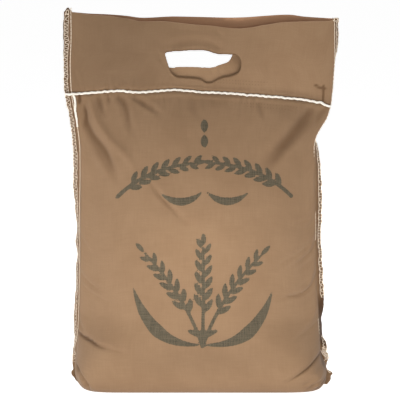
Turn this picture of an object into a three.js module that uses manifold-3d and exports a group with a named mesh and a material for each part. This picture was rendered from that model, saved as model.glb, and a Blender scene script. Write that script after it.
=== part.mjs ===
// A five kilogram cloth sack of rice, standing on its own flattened base.
// The cloth is overlocked down both sides with its seam allowance outside, and a chain of thick white twine
// closes it across. Above the twine the cloth runs on as an empty header: a front and a back panel that are
// open at the top, with a hand hole punched through both. The front panel steps forward and sags a little.
// Millimetres, +Z up, the printed front faces -Y, the origin is at the middle of the base.

import * as THREE from "three";
import { mergeVertices } from "three/addons/utils/BufferGeometryUtils.js";
import Module from "manifold-3d";

// Driving sizes
const closureHeight = 342; // from the base to the closing twine
const headerHeight = 90; // from the twine to the top of the cloth at the side seams
const halfDepth = 52; // of the filled part, from its middle to the front
const baseHalfDepth = 37;
const baseRounding = 26; // height of the rounded edge round the base
const unevenness = 0.9; // how far the rice pushes the cloth in and out
const cloth = 1.4; // one layer of cloth
const seamAllowance = 8.2; // of cloth outside the seam, with the edge thread beyond it
const holeEnds = [-0.285, 0.298]; // across the header, from -1 at the left seam to 1 at the right one
const twineRadius = 1.5;
const twineStandOff = 1.7; // the cloth swells on both sides of the twine and holds it forward
const twineStitch = 6;
const tailLength = 38; // the end of the twine that hangs at the left seam
const edgeThreadRadius = 0.9;
const edgeStitch = 4;
const lineThreadRadius = 0.5;
const lineThreadPlace = 2.6; // outside the seam
const clearance = 0.35; // between a thread and the cloth that it lies on

// How finely the cloth is divided
const columnsBesideHole = 9;
const columnsAcrossHole = 12;
const bodyRows = 28;
const rowsBelowHole = 3;
const rowsAboveHole = 3;

const mix = THREE.MathUtils.lerp;
const clamp01 = (x) => Math.min(1, Math.max(0, x));
const smoothstep = (low, high, x) => THREE.MathUtils.smoothstep(x, low, high);
const bell = (x) => Math.exp(-x * x);

// A smooth curve through [place, value] pairs, as a function of the place.
function through(...knots) {
  const slope = (i) => {
    const before = knots[Math.max(i - 1, 0)];
    const after = knots[Math.min(i + 1, knots.length - 1)];
    return (after[1] - before[1]) / (after[0] - before[0]);
  };
  return (place) => {
    const at = THREE.MathUtils.clamp(place, knots[0][0], knots.at(-1)[0]);
    const next = Math.max(1, knots.findIndex((k) => k[0] >= at));
    const [x0, y0] = knots[next - 1];
    const [x1, y1] = knots[next];
    const span = x1 - x0;
    const t = (at - x0) / span;
    const rise = (y1 - y0) * (3 * t * t - 2 * t * t * t);
    const lean = slope(next - 1) * (t ** 3 - 2 * t * t + t) + slope(next) * (t ** 3 - t * t);
    return y0 + rise + span * lean;
  };
}

// The two side seams and their allowances, all by height above the base. A turn of 0 degrees lays the
// allowance flat, straight out from the seam, and 90 degrees folds it straight back.
const seamX = {
  left: through([0, -138], [14, -143], [30, -144.5], [75, -140.5], [160, -138], [276, -136.8], [305, -139.2],
    [342, -145], [385, -146.2], [432, -145.2]),
  right: through([0, 134], [14, 139], [40, 140], [75, 138], [120, 134.6], [160, 132.6], [285, 131],
    [303, 131.8], [315, 137.4], [325, 143.2], [335, 146.6], [345, 148.7], [390, 151.8], [432, 150.8]),
};
const allowance = {
  left: through([0, 3], [14, 9], [24, 10], [40, 8], [60, seamAllowance], [432, seamAllowance]),
  right: through([0, 12], [9, 17.5], [18, 11], [34, 11.5], [48, seamAllowance], [432, seamAllowance]),
};
const turn = {
  left: through([0, 20], [30, 40], [45, 70], [62, 58], [80, 48], [110, 62], [160, 64], [195, 62], [215, 48],
    [240, 24], [270, 22], [320, 22], [342, 12], [432, 8]),
  right: through([0, 14], [22, 20], [45, 46], [60, 70], [80, 68], [105, 34], [150, 26], [175, 44], [190, 46],
    [208, 28], [245, 22], [262, 40], [285, 66], [300, 90], [380, 90], [400, 74], [432, 58]),
};

// Across the sack: the twine's height, the two top edges, and how far the front panel steps forward.
const closureLine = through([-1, 340.5], [-0.65, 344.4], [-0.45, 342.8], [-0.22, 345.5], [0, 343],
  [0.5, 338.5], [0.8, 334], [1, 328]);
const topEdge = {
  front: through([-1, 433.8], [-0.87, 431.2], [-0.72, 429.8], [-0.58, 426.8], [-0.468, 423.8],
    [-0.286, 423.8], [-0.141, 421.4], [0.087, 418.5], [0.269, 415.6], [0.345, 416.3], [0.49, 420],
    [0.6, 422.4], [0.742, 423.4], [0.895, 424], [1, 426.5]),
  back: through([-1, 433.8], [-0.73, 431], [-0.485, 427.2], [-0.4, 427.1], [-0.218, 428.3], [0.195, 427.1],
    [0.348, 427.7], [0.6, 430.3], [0.684, 430.3], [0.882, 427.4], [1, 426.5]),
};
const forwardStep = through([-1, 0], [-0.73, 2.5], [-0.45, 4.2], [0, 6], [0.27, 7.2], [0.5, 6.4], [0.75, 4.6],
  [0.9, 2.6], [1, 0]);
const backwardLean = 6;

// The hand hole in each panel: its lower and upper edges, and how far the cloth round it is pulled sideways.
const handHole = {
  front: {
    low: through([-0.285, 386.8], [-0.26, 374.8], [-0.221, 363.4], [-0.19, 360.5], [-0.09, 359],
      [-0.005, 357.1], [0.057, 353.5], [0.118, 357.1], [0.201, 361.2], [0.246, 362.5], [0.276, 365.3],
      [0.298, 374]),
    high: through([-0.285, 386.8], [-0.273, 388.5], [-0.171, 390], [0.004, 390.7], [0.08, 388],
      [0.118, 386.5], [0.217, 386.3], [0.278, 382.4], [0.298, 374]),
    shift: 0,
  },
  back: {
    low: through([-0.285, 386], [-0.27, 379], [-0.24, 373.5], [-0.179, 370.4], [-0.057, 371.3],
      [0.097, 370.4], [0.15, 371.3], [0.256, 377], [0.298, 388.5]),
    high: through([-0.285, 386], [-0.27, 393], [-0.23, 397], [-0.1, 398.6], [0.1, 398.6], [0.23, 397.5],
      [0.27, 395], [0.298, 388.5]),
    shift: -11,
  },
};

// The large folds in the cloth: from one point to another as [x, z], the width and the depth of the valley,
// and the share of that depth that stands up as a ridge on its upper side.
const folds = {
  front: [
    { from: [-132, 334], to: [-92, 250], width: 9, depth: 6, ridge: 0.5 },
    { from: [-60, 252], to: [-16, 200], width: 7, depth: 2.6, ridge: 0.7 },
    { from: [-116, 342], to: [-108, 310], width: 5, depth: 3, ridge: 0.5 },
    { from: [-94, 343], to: [-76, 292], width: 6, depth: 3.4, ridge: 0.5 },
    { from: [-76, 342], to: [-44, 320], width: 5, depth: 2.4, ridge: 0.5 },
    { from: [124, 336], to: [74, 262], width: 9, depth: 5, ridge: 0.5 },
    { from: [72, 332], to: [64, 304], width: 6, depth: 2.4, ridge: 0.5 },
    { from: [131, 182], to: [90, 150], width: 6, depth: 2.6, ridge: 0.8 },
    { from: [132, 144], to: [94, 110], width: 6, depth: 2.8, ridge: 0.8 },
    { from: [134, 96], to: [106, 62], width: 5, depth: 2.2, ridge: 0.8 },
    { from: [141, 52], to: [98, 6], width: 5, depth: 4.5, ridge: 0.9 },
    { from: [-143, 68], to: [-96, 50], width: 5, depth: 4.2, ridge: 0.9 },
    { from: [-135, 140], to: [-100, 104], width: 6, depth: 2.2, ridge: 0.8 },
    { from: [-147, 42], to: [-122, 2], width: 5, depth: 4.5, ridge: 0.9 },
  ],
  back: [
    { from: [138, 338], to: [92, 262], width: 13, depth: 6, ridge: 0.5 },
    { from: [-138, 334], to: [-84, 258], width: 12, depth: 6, ridge: 0.5 },
    { from: [96, 340], to: [84, 300], width: 6, depth: 3, ridge: 0.5 },
    { from: [30, 343], to: [22, 306], width: 6, depth: 2.6, ridge: 0.5 },
    { from: [-48, 343], to: [-44, 302], width: 6, depth: 2.8, ridge: 0.5 },
    { from: [132, 170], to: [94, 140], width: 6, depth: 2.6, ridge: 0.8 },
    { from: [-136, 150], to: [-98, 122], width: 6, depth: 2.6, ridge: 0.8 },
    { from: [-140, 88], to: [-96, 52], width: 5, depth: 3.6, ridge: 0.9 },
    { from: [140, 56], to: [104, 8], width: 5, depth: 4.2, ridge: 0.9 },
    { from: [-145, 44], to: [-116, 4], width: 5, depth: 4.2, ridge: 0.9 },
  ],
};

// How far the folds move the cloth outwards at a point of the front or the back.
function foldRelief(side, x, z) {
  return folds[side].reduce((sum, { from, to, width, depth, ridge }) => {
    const [dx, dz] = [to[0] - from[0], to[1] - from[1]];
    const length = Math.hypot(dx, dz);
    const along = ((x - from[0]) * dx + (z - from[1]) * dz) / (length * length);
    const above = Math.sign(dx) * ((z - from[1]) * dx - (x - from[0]) * dz) / length;
    const fade = smoothstep(-0.12, 0.12, along) * (1 - smoothstep(0.45, 1.1, along));
    return sum + depth * fade * (ridge * bell((above - 1.7 * width) / (1.2 * width)) - bell(above / width));
  }, 0);
}

// Half the depth of the filled part. "across" runs from -1 at the left seam to 1 at the right one.
function fillDepth(across, height) {
  const share = clamp01(height / closureHeight);
  const wedge = Math.pow(1 - Math.pow(share, 3.2), 0.8);
  const fromEdge = 1 - clamp01(height / baseRounding);
  const base = mix(baseHalfDepth, halfDepth, Math.sqrt(1 - fromEdge * fromEdge)) / halfDepth;
  const boxy = 1 - smoothstep(0, 90, height);
  const pointed = smoothstep(200, closureHeight, height);
  const power = mix(mix(2.3, 12, boxy), 2, pointed);
  const root = mix(mix(0.86, 0.5, boxy), 1, pointed);
  return halfDepth * wedge * base * Math.pow(1 - Math.pow(Math.abs(across), power), root);
}

// Slow hills and hollows over the filled part, between -1 and 1.
function riceRelief(side, x, z) {
  const shift = side === "front" ? 0 : 2.1;
  return 0.6 * Math.sin(x / 37 + z / 90 + shift) * Math.cos(z / 44 + 0.7 * shift)
    + 0.4 * Math.sin(z / 23 - x / 61 + 2 * shift);
}

const sign = { front: -1, back: 1 };

// A point of the cloth's outer face below the twine; "up" runs from 0 at the base to 1 at the twine.
function bodyPoint(side, across, up) {
  const nominal = up * closureHeight;
  const x = mix(seamX.left(nominal), seamX.right(nominal), (across + 1) / 2);
  const z = up * closureLine(across);
  const atRim = (1 - across ** 8) * smoothstep(0, 0.04, up) * (1 - smoothstep(0.97, 1, up));
  const relief = foldRelief(side, x, z) + unevenness * riceRelief(side, x, z);
  const depth = fillDepth(across, nominal) + atRim * relief;
  return new THREE.Vector3(x, sign[side] * (cloth + Math.max(0, depth)), z);
}

// Heights of the header's rows in one column: up to the hole's lower edge, then from its upper edge. Beside
// the hole both edges run on as one line to the seam.
function headerHeights(side, across) {
  const [first, last] = holeEnds;
  const open = across > first + 1e-9 && across < last - 1e-9;
  const atSeam = (closureLine(Math.sign(across)) + topEdge[side](Math.sign(across))) / 2;
  const end = handHole[side].low(across < 0 ? first : last);
  const beyond = across < 0 ? (first - across) / (first + 1) : (across - last) / (1 - last);
  const line = mix(end, atSeam, clamp01(beyond));
  const low = open ? handHole[side].low(across) : line;
  const high = open ? handHole[side].high(across) : line;
  const between = (from, to, rows) => Array.from({ length: rows + 1 }, (_, row) => mix(from, to, row / rows));
  return [
    ...between(closureLine(across), low, rowsBelowHole),
    ...between(high, topEdge[side](across), rowsAboveHole),
  ];
}

// A point half way through the cloth of one header panel.
function headerPoint(side, across, z) {
  const low = closureLine(across);
  const up = (z - low) / (topEdge[side](across) - low);
  const nominal = closureHeight + up * headerHeight;
  const bulge = bell(across / 0.75) * Math.sin(Math.PI * clamp01(up)) * (1 - across ** 4);
  const skew = handHole[side].shift * bulge;
  const x = mix(seamX.left(nominal), seamX.right(nominal), (across + 1) / 2) + skew;
  const step = side === "front"
    ? forwardStep(across) * (1 - Math.exp(-Math.pow(clamp01(up) / 0.22, 1.4))) * (1 - 0.15 * up)
    : backwardLean * (1 - across * across) * Math.pow(clamp01(up), 1.2);
  return new THREE.Vector3(x, sign[side] * (cloth / 2 + step), z);
}

// A point on the seam allowance: "out" from the seam, then "off" its middle towards its front face.
function allowancePoint(edge, height, z, out, off) {
  const angle = THREE.MathUtils.degToRad(turn[edge](height));
  const outward = edge === "left" ? -1 : 1;
  const along = new THREE.Vector3(outward * Math.cos(angle), Math.sin(angle), 0);
  const facing = new THREE.Vector3(outward * Math.sin(angle), -Math.cos(angle), 0);
  return new THREE.Vector3(seamX[edge](height), 0, z)
    .addScaledVector(along, out)
    .addScaledVector(facing, off);
}

// The places of the columns from the left seam to the right one, close together at the hole's ends.
function columnPlaces() {
  const eased = (from, to, columns) => Array.from({ length: columns + 1 },
    (_, i) => mix(from, to, (1 - Math.cos((Math.PI * i) / columns)) / 2));
  return [
    ...eased(-1, holeEnds[0], columnsBesideHole),
    ...eased(...holeEnds, columnsAcrossHole).slice(1, -1),
    ...eased(holeEnds[1], 1, columnsBesideHole),
  ];
}

// The whole sack as one closed surface: outer faces front and back, the pocket between the header's panels,
// the cut edges at the top and round the hand hole, the seam allowances and the flat base.
function sackGeometry() {
  const places = columnPlaces();
  const last = places.length - 1;
  const holeFrom = columnsBesideHole;
  const holeTo = columnsBesideHole + columnsAcrossHole;
  const headerRows = rowsBelowHole + rowsAboveHole + 1;
  const topRow = bodyRows + headerRows;
  const slitRow = bodyRows + rowsBelowHole;
  const positions = [];
  const ids = new Map();
  const triangles = [];

  const upAt = (row) => mix(row / bodyRows, (1 - Math.cos((Math.PI * row) / bodyRows)) / 2, 0.65);
  const inHole = (column) => column > holeFrom && column < holeTo;
  // Outside the hole its two edges are one row of the cloth.
  const rowOf = (row, column) => (row === slitRow + 1 && !inHole(column) ? slitRow : row);

  // The outer edge of an allowance, level with the cloth's rows.
  function edgePlace(side, row, edge) {
    const across = edge === "left" ? -1 : 1;
    const [low, high] = [closureLine(across), topEdge[side](across)];
    const inBody = row <= bodyRows;
    const z = inBody ? upAt(row) * low : headerHeights(side, across)[row - bodyRows];
    const upHeader = (z - low) / (high - low);
    const height = inBody ? upAt(row) * closureHeight : closureHeight + upHeader * headerHeight;
    return allowancePoint(edge, height, z, allowance[edge](height), side === "front" ? cloth : -cloth);
  }

  function place(face, row, column) {
    const side = face.endsWith("front") ? "front" : "back";
    const inner = face.startsWith("inner");
    if (column < 0 || column > last) return edgePlace(side, row, column < 0 ? "left" : "right");
    const across = places[column];
    if (row < bodyRows || (row === bodyRows && !inner)) return bodyPoint(side, across, upAt(row));
    const point = headerPoint(side, across, headerHeights(side, across)[row - bodyRows]);
    point.y += (inner ? -1 : 1) * sign[side] * (cloth / 2);
    return point;
  }

  function vertex(face, row, column) {
    let key = face;
    // The pocket's two faces meet along the twine and along both side seams.
    if (face.startsWith("inner") && (row === bodyRows || column === 0 || column === last)) key = "inner";
    const id = `${key} ${rowOf(row, column)} ${column}`;
    if (!ids.has(id)) {
      ids.set(id, positions.length / 3);
      positions.push(...place(face, rowOf(row, column), column).toArray());
    }
    return ids.get(id);
  }

  function face(...corners) {
    const distinct = corners.filter((c, i) => c !== corners[(i + 1) % corners.length]);
    for (let i = 2; i < distinct.length; i++) triangles.push(distinct[0], distinct[i - 1], distinct[i]);
  }

  function sheet(name, fromRow, fromColumn, toColumn, turned) {
    for (let row = fromRow; row < topRow; row++) {
      if (row === slitRow) continue;
      for (let column = fromColumn; column < toColumn; column++) {
        const corners = [[row, column], [row, column + 1], [row + 1, column + 1], [row + 1, column]]
          .map(([r, c]) => vertex(name, r, c));
        face(...(turned ? corners.reverse() : corners));
      }
    }
  }
  sheet("outer front", 0, -1, last + 1, false);
  sheet("outer back", 0, -1, last + 1, true);
  sheet("inner front", bodyRows, 0, last, true);
  sheet("inner back", bodyRows, 0, last, false);

  // Joins two rows or columns of two faces with a strip.
  function strip(count, a, b) {
    for (let i = 0; i < count; i++) face(a(i), b(i), b(i + 1), a(i + 1));
  }
  strip(last + 2, (i) => vertex("outer front", 0, i - 1), (i) => vertex("outer back", 0, i - 1));
  for (const [column, forwards] of [[-1, false], [last + 1, true]]) {
    const [a, b] = forwards ? ["outer front", "outer back"] : ["outer back", "outer front"];
    strip(topRow, (i) => vertex(a, i, column), (i) => vertex(b, i, column));
  }
  strip(last, (i) => vertex("inner front", topRow, i), (i) => vertex("outer front", topRow, i));
  strip(last, (i) => vertex("outer back", topRow, i), (i) => vertex("inner back", topRow, i));
  const holeColumns = holeTo - holeFrom;
  for (const side of ["front", "back"]) {
    const faces = side === "front" ? ["outer front", "inner front"] : ["inner back", "outer back"];
    const edge = (name, row) => (i) => vertex(name, row, holeFrom + i);
    strip(holeColumns, edge(faces[1], slitRow), edge(faces[0], slitRow));
    strip(holeColumns, edge(faces[0], slitRow + 1), edge(faces[1], slitRow + 1));
  }
  // The top end of each allowance.
  for (const [tip, seam, flip] of [[-1, 0, false], [last + 1, last, true]]) {
    const route = [["outer front", tip], ["outer front", seam], ["inner front", seam], ["outer back", seam],
      ["outer back", tip]];
    const corners = route.map(([name, column]) => vertex(name, topRow, column));
    face(...(flip ? corners.reverse() : corners));
  }

  const geometry = new THREE.BufferGeometry();
  geometry.setAttribute("position", new THREE.Float32BufferAttribute(positions, 3));
  geometry.setIndex(triangles);
  return geometry;
}

// A sewn line of thread as one closed tube that swells at every stitch.
function stitchTube(points, radius, stitch, sides, swell) {
  const route = new THREE.CatmullRomCurve3(points, false, "centripetal");
  const rings = Math.max(4, 2 * Math.round(route.getLength() / stitch));
  const tube = new THREE.TubeGeometry(route, rings, radius, sides, false);
  const position = tube.getAttribute("position");
  const centre = new THREE.Vector3();
  const vertex = new THREE.Vector3();
  for (let ring = 0; ring <= rings; ring++) {
    route.getPointAt(ring / rings, centre);
    const size = ring % 2 === 0 ? 1 - swell : 1;
    for (let side = 0; side <= sides; side++) {
      const i = ring * (sides + 1) + side;
      vertex.fromBufferAttribute(position, i).sub(centre).multiplyScalar(size).add(centre);
      position.setXYZ(i, vertex.x, vertex.y, vertex.z);
    }
  }
  const index = Array.from(tube.getIndex().array);
  for (let side = 2; side < sides; side++) {
    index.push(0, side - 1, side);
    const end = rings * (sides + 1);
    index.push(end, end + side, end + side - 1);
  }
  tube.setIndex(index);
  return tube;
}

// Where a thread runs down a side seam: "out" from the seam and "off" the allowance's front face.
function seamRoute(edge, from, to, step, out, off) {
  const across = edge === "left" ? -1 : 1;
  const count = Math.round((to - from) / step);
  return Array.from({ length: count + 1 }, (_, i) => {
    const height = mix(from, to, i / count);
    const z = height <= closureHeight ? (height / closureHeight) * closureLine(across)
      : mix(closureLine(across), topEdge.back(across), (height - closureHeight) / headerHeight);
    return allowancePoint(edge, height, z, out(height), off);
  });
}

// The twine runs from the outer edge of the left allowance to the right seam.
function twineRoute() {
  const off = cloth + twineStandOff + twineRadius;
  const start = seamX.left(closureHeight) - seamAllowance;
  const end = seamX.right(closureHeight) - 0.5;
  return Array.from({ length: 33 }, (_, i) => {
    const x = mix(start, end, i / 32);
    const across = THREE.MathUtils.mapLinear(x, seamX.left(closureHeight), seamX.right(closureHeight), -1, 1);
    return new THREE.Vector3(x, -off, closureLine(across));
  });
}

// The twine's loose end turns down at the left seam and hangs against it.
function tailRoute() {
  const top = closureLine(-1);
  const off = cloth + twineStandOff + twineRadius;
  return Array.from({ length: 7 }, (_, i) => {
    const z = top - (tailLength * i) / 6;
    return new THREE.Vector3(seamX.left(z) - 0.5, -off - 0.6 * Math.sin((Math.PI * i) / 6), z);
  });
}

const wasm = await Module();
wasm.setup();

function solidOf(geometry) {
  const bare = geometry.clone();
  bare.deleteAttribute("normal");
  bare.deleteAttribute("uv");
  const merged = mergeVertices(bare, 1e-3);
  return new wasm.Manifold(new wasm.Mesh({
    numProp: 3,
    vertProperties: merged.getAttribute("position").array,
    triVerts: new Uint32Array(merged.getIndex().array),
  }));
}

function geometryOf(solid) {
  const mesh = solid.getMesh();
  const geometry = new THREE.BufferGeometry();
  geometry.setAttribute("position", new THREE.BufferAttribute(mesh.vertProperties, 3));
  geometry.setIndex(new THREE.BufferAttribute(mesh.triVerts, 1));
  return geometry;
}

const sackCloth = new THREE.MeshStandardMaterial({ color: 0xa5845f, roughness: 0.9, metalness: 0 });
const twine = new THREE.MeshStandardMaterial({ color: 0xf3ebdc, roughness: 0.85, metalness: 0 });
const thread = new THREE.MeshStandardMaterial({ color: 0xd9cdb8, roughness: 0.85, metalness: 0 });

const group = new THREE.Group();

function add(name, geometry, material) {
  const mesh = new THREE.Mesh(geometry, material);
  mesh.name = name;
  group.add(mesh);
}

add("sack", sackGeometry(), sackCloth);

const closing = solidOf(stitchTube(twineRoute(), twineRadius, twineStitch, 6, 0.35));
const tail = solidOf(stitchTube(tailRoute(), twineRadius * 0.8, twineStitch, 6, 0.3));
add("closing_twine", geometryOf(closing.add(tail)), twine);

for (const edge of ["left", "right"]) {
  const atEdge = (height) => allowance[edge](height) + clearance + edgeThreadRadius;
  const edging = seamRoute(edge, 52, edge === "left" ? 436 : 433, 7, atEdge, 0);
  add(`overlock_${edge}`, stitchTube(edging, edgeThreadRadius, edgeStitch, 4, 0.4), thread);
  const line = seamRoute(edge, 62, 430, 7, () => lineThreadPlace, cloth + clearance + lineThreadRadius);
  add(`chain_${edge}`, stitchTube(line, lineThreadRadius, edgeStitch, 3, 0.25), thread);
}

export default group;
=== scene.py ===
import math
import bmesh
import bpy
import numpy as np
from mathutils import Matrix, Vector


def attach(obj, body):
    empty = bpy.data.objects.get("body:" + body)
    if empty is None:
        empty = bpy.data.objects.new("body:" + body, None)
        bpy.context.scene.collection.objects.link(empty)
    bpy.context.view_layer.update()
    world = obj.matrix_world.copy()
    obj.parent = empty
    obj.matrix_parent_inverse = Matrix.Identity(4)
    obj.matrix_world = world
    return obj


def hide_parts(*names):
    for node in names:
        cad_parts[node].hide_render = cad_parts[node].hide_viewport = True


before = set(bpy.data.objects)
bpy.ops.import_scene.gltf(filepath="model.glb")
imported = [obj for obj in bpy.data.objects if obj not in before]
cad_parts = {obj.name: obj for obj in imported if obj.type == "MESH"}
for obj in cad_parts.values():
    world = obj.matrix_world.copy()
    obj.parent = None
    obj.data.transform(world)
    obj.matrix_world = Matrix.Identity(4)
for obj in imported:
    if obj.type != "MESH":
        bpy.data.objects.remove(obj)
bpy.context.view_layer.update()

mm = 0.001


# Small helpers

def mix(a, b, t):
    return a + (b - a) * t


def smooth(low, high, x):
    t = np.clip((x - low) / (high - low), 0.0, 1.0)
    return t * t * (3.0 - 2.0 * t)


def bell(x):
    return np.exp(-x * x)


# A smooth curve through (place, value) pairs, as a function of the place
def through(*knots):
    places = np.array([k[0] for k in knots], float)
    values = np.array([k[1] for k in knots], float)
    before = np.maximum(np.arange(len(knots)) - 1, 0)
    after = np.minimum(np.arange(len(knots)) + 1, len(knots) - 1)
    slopes = (values[after] - values[before]) / (places[after] - places[before])

    def curve(x):
        at = np.clip(x, places[0], places[-1])
        j = np.clip(np.searchsorted(places, at), 1, len(places) - 1)
        i = j - 1
        span = places[j] - places[i]
        t = (at - places[i]) / span
        rise = (values[j] - values[i]) * (3 * t**2 - 2 * t**3)
        lean = slopes[i] * (t**3 - 2 * t**2 + t) + slopes[j] * (t**3 - t**2)
        return values[i] + rise + span * lean

    return curve


# Smooth seeded noise over a plane, about -1 to 1, with lumps of the given size
def lumps(a, b, size, seed):
    lattice = np.random.default_rng(seed).uniform(-1.0, 1.0, (97, 97))
    p, q = np.asarray(a) / size + 43.0, np.asarray(b) / size + 43.0
    i, j = np.floor(p).astype(int), np.floor(q).astype(int)
    s, t = smooth(0, 1, p - i), smooth(0, 1, q - j)
    i, j = i % 96, j % 96
    low = mix(lattice[i, j], lattice[i + 1, j], s)
    high = mix(lattice[i, j + 1], lattice[i + 1, j + 1], s)
    return mix(low, high, t)


# The same noise along one line
def ripple(along, size, seed, row=0.0):
    return lumps(along, along * 0 + row, size, seed)


# Camera: the photo looks at the sack from the front and a little above, from far away

cameraSettings = {"distance": 2.2, "elevation": 10.0, "aimHeight": 0.218, "mmPerPixel": 1.15, "pixels": 400}


def makeCamera(s):
    data = bpy.data.cameras.new("camera")
    data.sensor_width = 36.0
    data.lens = s["distance"] / (s["mmPerPixel"] * mm * s["pixels"]) * data.sensor_width
    data.clip_end = 100.0
    camera = bpy.data.objects.new("camera", data)
    tilt = math.radians(s["elevation"])
    camera.location = (0.0, -s["distance"] * math.cos(tilt), s["aimHeight"] + s["distance"] * math.sin(tilt))
    camera.rotation_euler = (math.radians(90.0) - tilt, 0.0, 0.0)
    bpy.context.scene.collection.objects.link(camera)
    bpy.context.scene.camera = camera


makeCamera(cameraSettings)
print("camera placed")


# Node tools

def addNode(tree, kind, inputs=(), **settings):
    node = tree.nodes.new(kind)
    for name, value in settings.items():
        setattr(node, name, value)
    for socket, value in dict(inputs).items():
        if isinstance(value, bpy.types.NodeSocket):
            tree.links.new(value, node.inputs[socket])
        else:
            node.inputs[socket].default_value = value
    return node


def math2(tree, operation, a, b=0.0, clamp=False):
    node = addNode(tree, "ShaderNodeMath", {0: a, 1: b}, operation=operation, use_clamp=clamp)
    return node.outputs[0]


def ramp(tree, value, low, high, toLow=0.0, toHigh=1.0):
    inputs = {"Value": value, "From Min": low, "From Max": high, "To Min": toLow, "To Max": toHigh}
    node = addNode(tree, "ShaderNodeMapRange", inputs, interpolation_type="SMOOTHSTEP")
    return node.outputs["Result"]


def mixColour(tree, factor, a, b, blend="MIX"):
    node = addNode(tree, "ShaderNodeMix", {0: factor, 6: a, 7: b}, data_type="RGBA", blend_type=blend,
                   clamp_factor=True)
    return node.outputs[2]


# A value that each point of the mesh carries
def pointValue(tree, name):
    return addNode(tree, "ShaderNodeAttribute", attribute_name=name).outputs["Fac"]


def linear(r, g, b):
    def channel(c):
        c = c / 255.0
        return c / 12.92 if c <= 0.04045 else ((c + 0.055) / 1.055) ** 2.4
    return (channel(r), channel(g), channel(b), 1.0)


def newGroup(name, inputs, outputs):
    group = bpy.data.node_groups.new(name, "ShaderNodeTree")
    for label, kind, value in inputs:
        socket = group.interface.new_socket(name=label, in_out="INPUT", socket_type=kind)
        if value is not None:
            socket.default_value = value
    for label, kind in outputs:
        group.interface.new_socket(name=label, in_out="OUTPUT", socket_type=kind)
    return group, group.nodes.new("NodeGroupInput"), group.nodes.new("NodeGroupOutput")


# Plain weave: threads one way over and under threads the other way, a little uneven in width
def plainWeaveGroup():
    group, given, result = newGroup(
        "plainWeave",
        [("Place", "NodeSocketVector", None), ("Threads per Metre", "NodeSocketFloat", 1100.0),
         ("Unevenness", "NodeSocketFloat", 0.35)],
        [("Height", "NodeSocketFloat"), ("Over", "NodeSocketFloat"), ("Gap", "NodeSocketFloat")])
    scaled = addNode(group, "ShaderNodeVectorMath", {0: given.outputs["Place"]}, operation="SCALE")
    group.links.new(given.outputs["Threads per Metre"], scaled.inputs["Scale"])
    wander = addNode(group, "ShaderNodeTexNoise", {"Vector": scaled.outputs[0], "Scale": 0.11, "Detail": 2.0})
    centred = addNode(group, "ShaderNodeVectorMath", {0: wander.outputs["Color"], 1: (0.5, 0.5, 0.5)},
                      operation="SUBTRACT")
    spread = addNode(group, "ShaderNodeVectorMath", {0: centred.outputs[0]}, operation="SCALE")
    group.links.new(math2(group, "MULTIPLY", given.outputs["Unevenness"], 8.0), spread.inputs["Scale"])
    moved = addNode(group, "ShaderNodeVectorMath", {0: scaled.outputs[0], 1: spread.outputs[0]},
                    operation="ADD")
    axes = addNode(group, "ShaderNodeSeparateXYZ", {0: moved.outputs[0]})

    def thread(place):
        part = math2(group, "FRACT", place)
        side = math2(group, "ABSOLUTE", math2(group, "SUBTRACT", math2(group, "MULTIPLY", part, 2.0), 1.0))
        return math2(group, "SUBTRACT", 1.0, math2(group, "MULTIPLY", side, side))

    def swing(place):
        return math2(group, "SINE", math2(group, "MULTIPLY", place, math.pi))

    up, across = thread(axes.outputs["X"]), thread(axes.outputs["Y"])
    over = math2(group, "MULTIPLY", swing(axes.outputs["X"]), swing(axes.outputs["Y"]))
    share = ramp(group, over, -0.6, 0.6)
    height = math2(group, "ADD", math2(group, "MULTIPLY", up, share),
                   math2(group, "MULTIPLY", across, math2(group, "SUBTRACT", 1.0, share)))
    gap = ramp(group, math2(group, "MAXIMUM", up, across), 0.25, 0.75, 1.0, 0.0)
    group.links.new(height, result.inputs["Height"])
    group.links.new(share, result.inputs["Over"])
    group.links.new(gap, result.inputs["Gap"])
    return group


# Slubs: threads that run darker or paler for a stretch, one set each way, and slow cloudy wear
def slubsGroup():
    group, given, result = newGroup(
        "slubs", [("Place", "NodeSocketVector", None), ("Over", "NodeSocketFloat", 0.5)],
        [("Streak", "NodeSocketFloat"), ("Cloud", "NodeSocketFloat")])

    def streak(stretch, seed):
        shaped = addNode(group, "ShaderNodeMapping", {"Vector": given.outputs["Place"], "Location": seed,
                                                      "Scale": stretch})
        return addNode(group, "ShaderNodeTexNoise", {"Vector": shaped.outputs[0], "Scale": 1.0,
                                                     "Detail": 3.0, "Roughness": 0.6}).outputs["Fac"]

    warp = streak((900.0, 40.0, 1.0), (3.0, 0.0, 0.0))
    weft = streak((40.0, 900.0, 1.0), (0.0, 7.0, 0.0))
    both = addNode(group, "ShaderNodeMix", {0: given.outputs["Over"], 2: weft, 3: warp}, data_type="FLOAT")
    cloud = addNode(group, "ShaderNodeTexNoise", {"Vector": given.outputs["Place"], "Scale": 22.0,
                                                  "Detail": 4.0, "Roughness": 0.55})
    group.links.new(both.outputs[0], result.inputs["Streak"])
    group.links.new(cloud.outputs["Fac"], result.inputs["Cloud"])
    return group


# Fibres: the fine hairy grain of spun cotton
def fibresGroup():
    group, given, result = newGroup(
        "fibres", [("Size", "NodeSocketFloat", 2500.0)], [("Grain", "NodeSocketFloat")])
    place = addNode(group, "ShaderNodeTexCoord").outputs["Object"]
    grain = addNode(group, "ShaderNodeTexNoise", {"Vector": place, "Detail": 3.0, "Roughness": 0.7})
    group.links.new(given.outputs["Size"], grain.inputs["Scale"])
    group.links.new(grain.outputs["Fac"], result.inputs["Grain"])
    return group


weaveGroup, slubGroup, fibreGroup = plainWeaveGroup(), slubsGroup(), fibresGroup()


def fillGroup(tree, group, inputs):
    return addNode(tree, "ShaderNodeGroup", inputs, node_tree=group)


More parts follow.
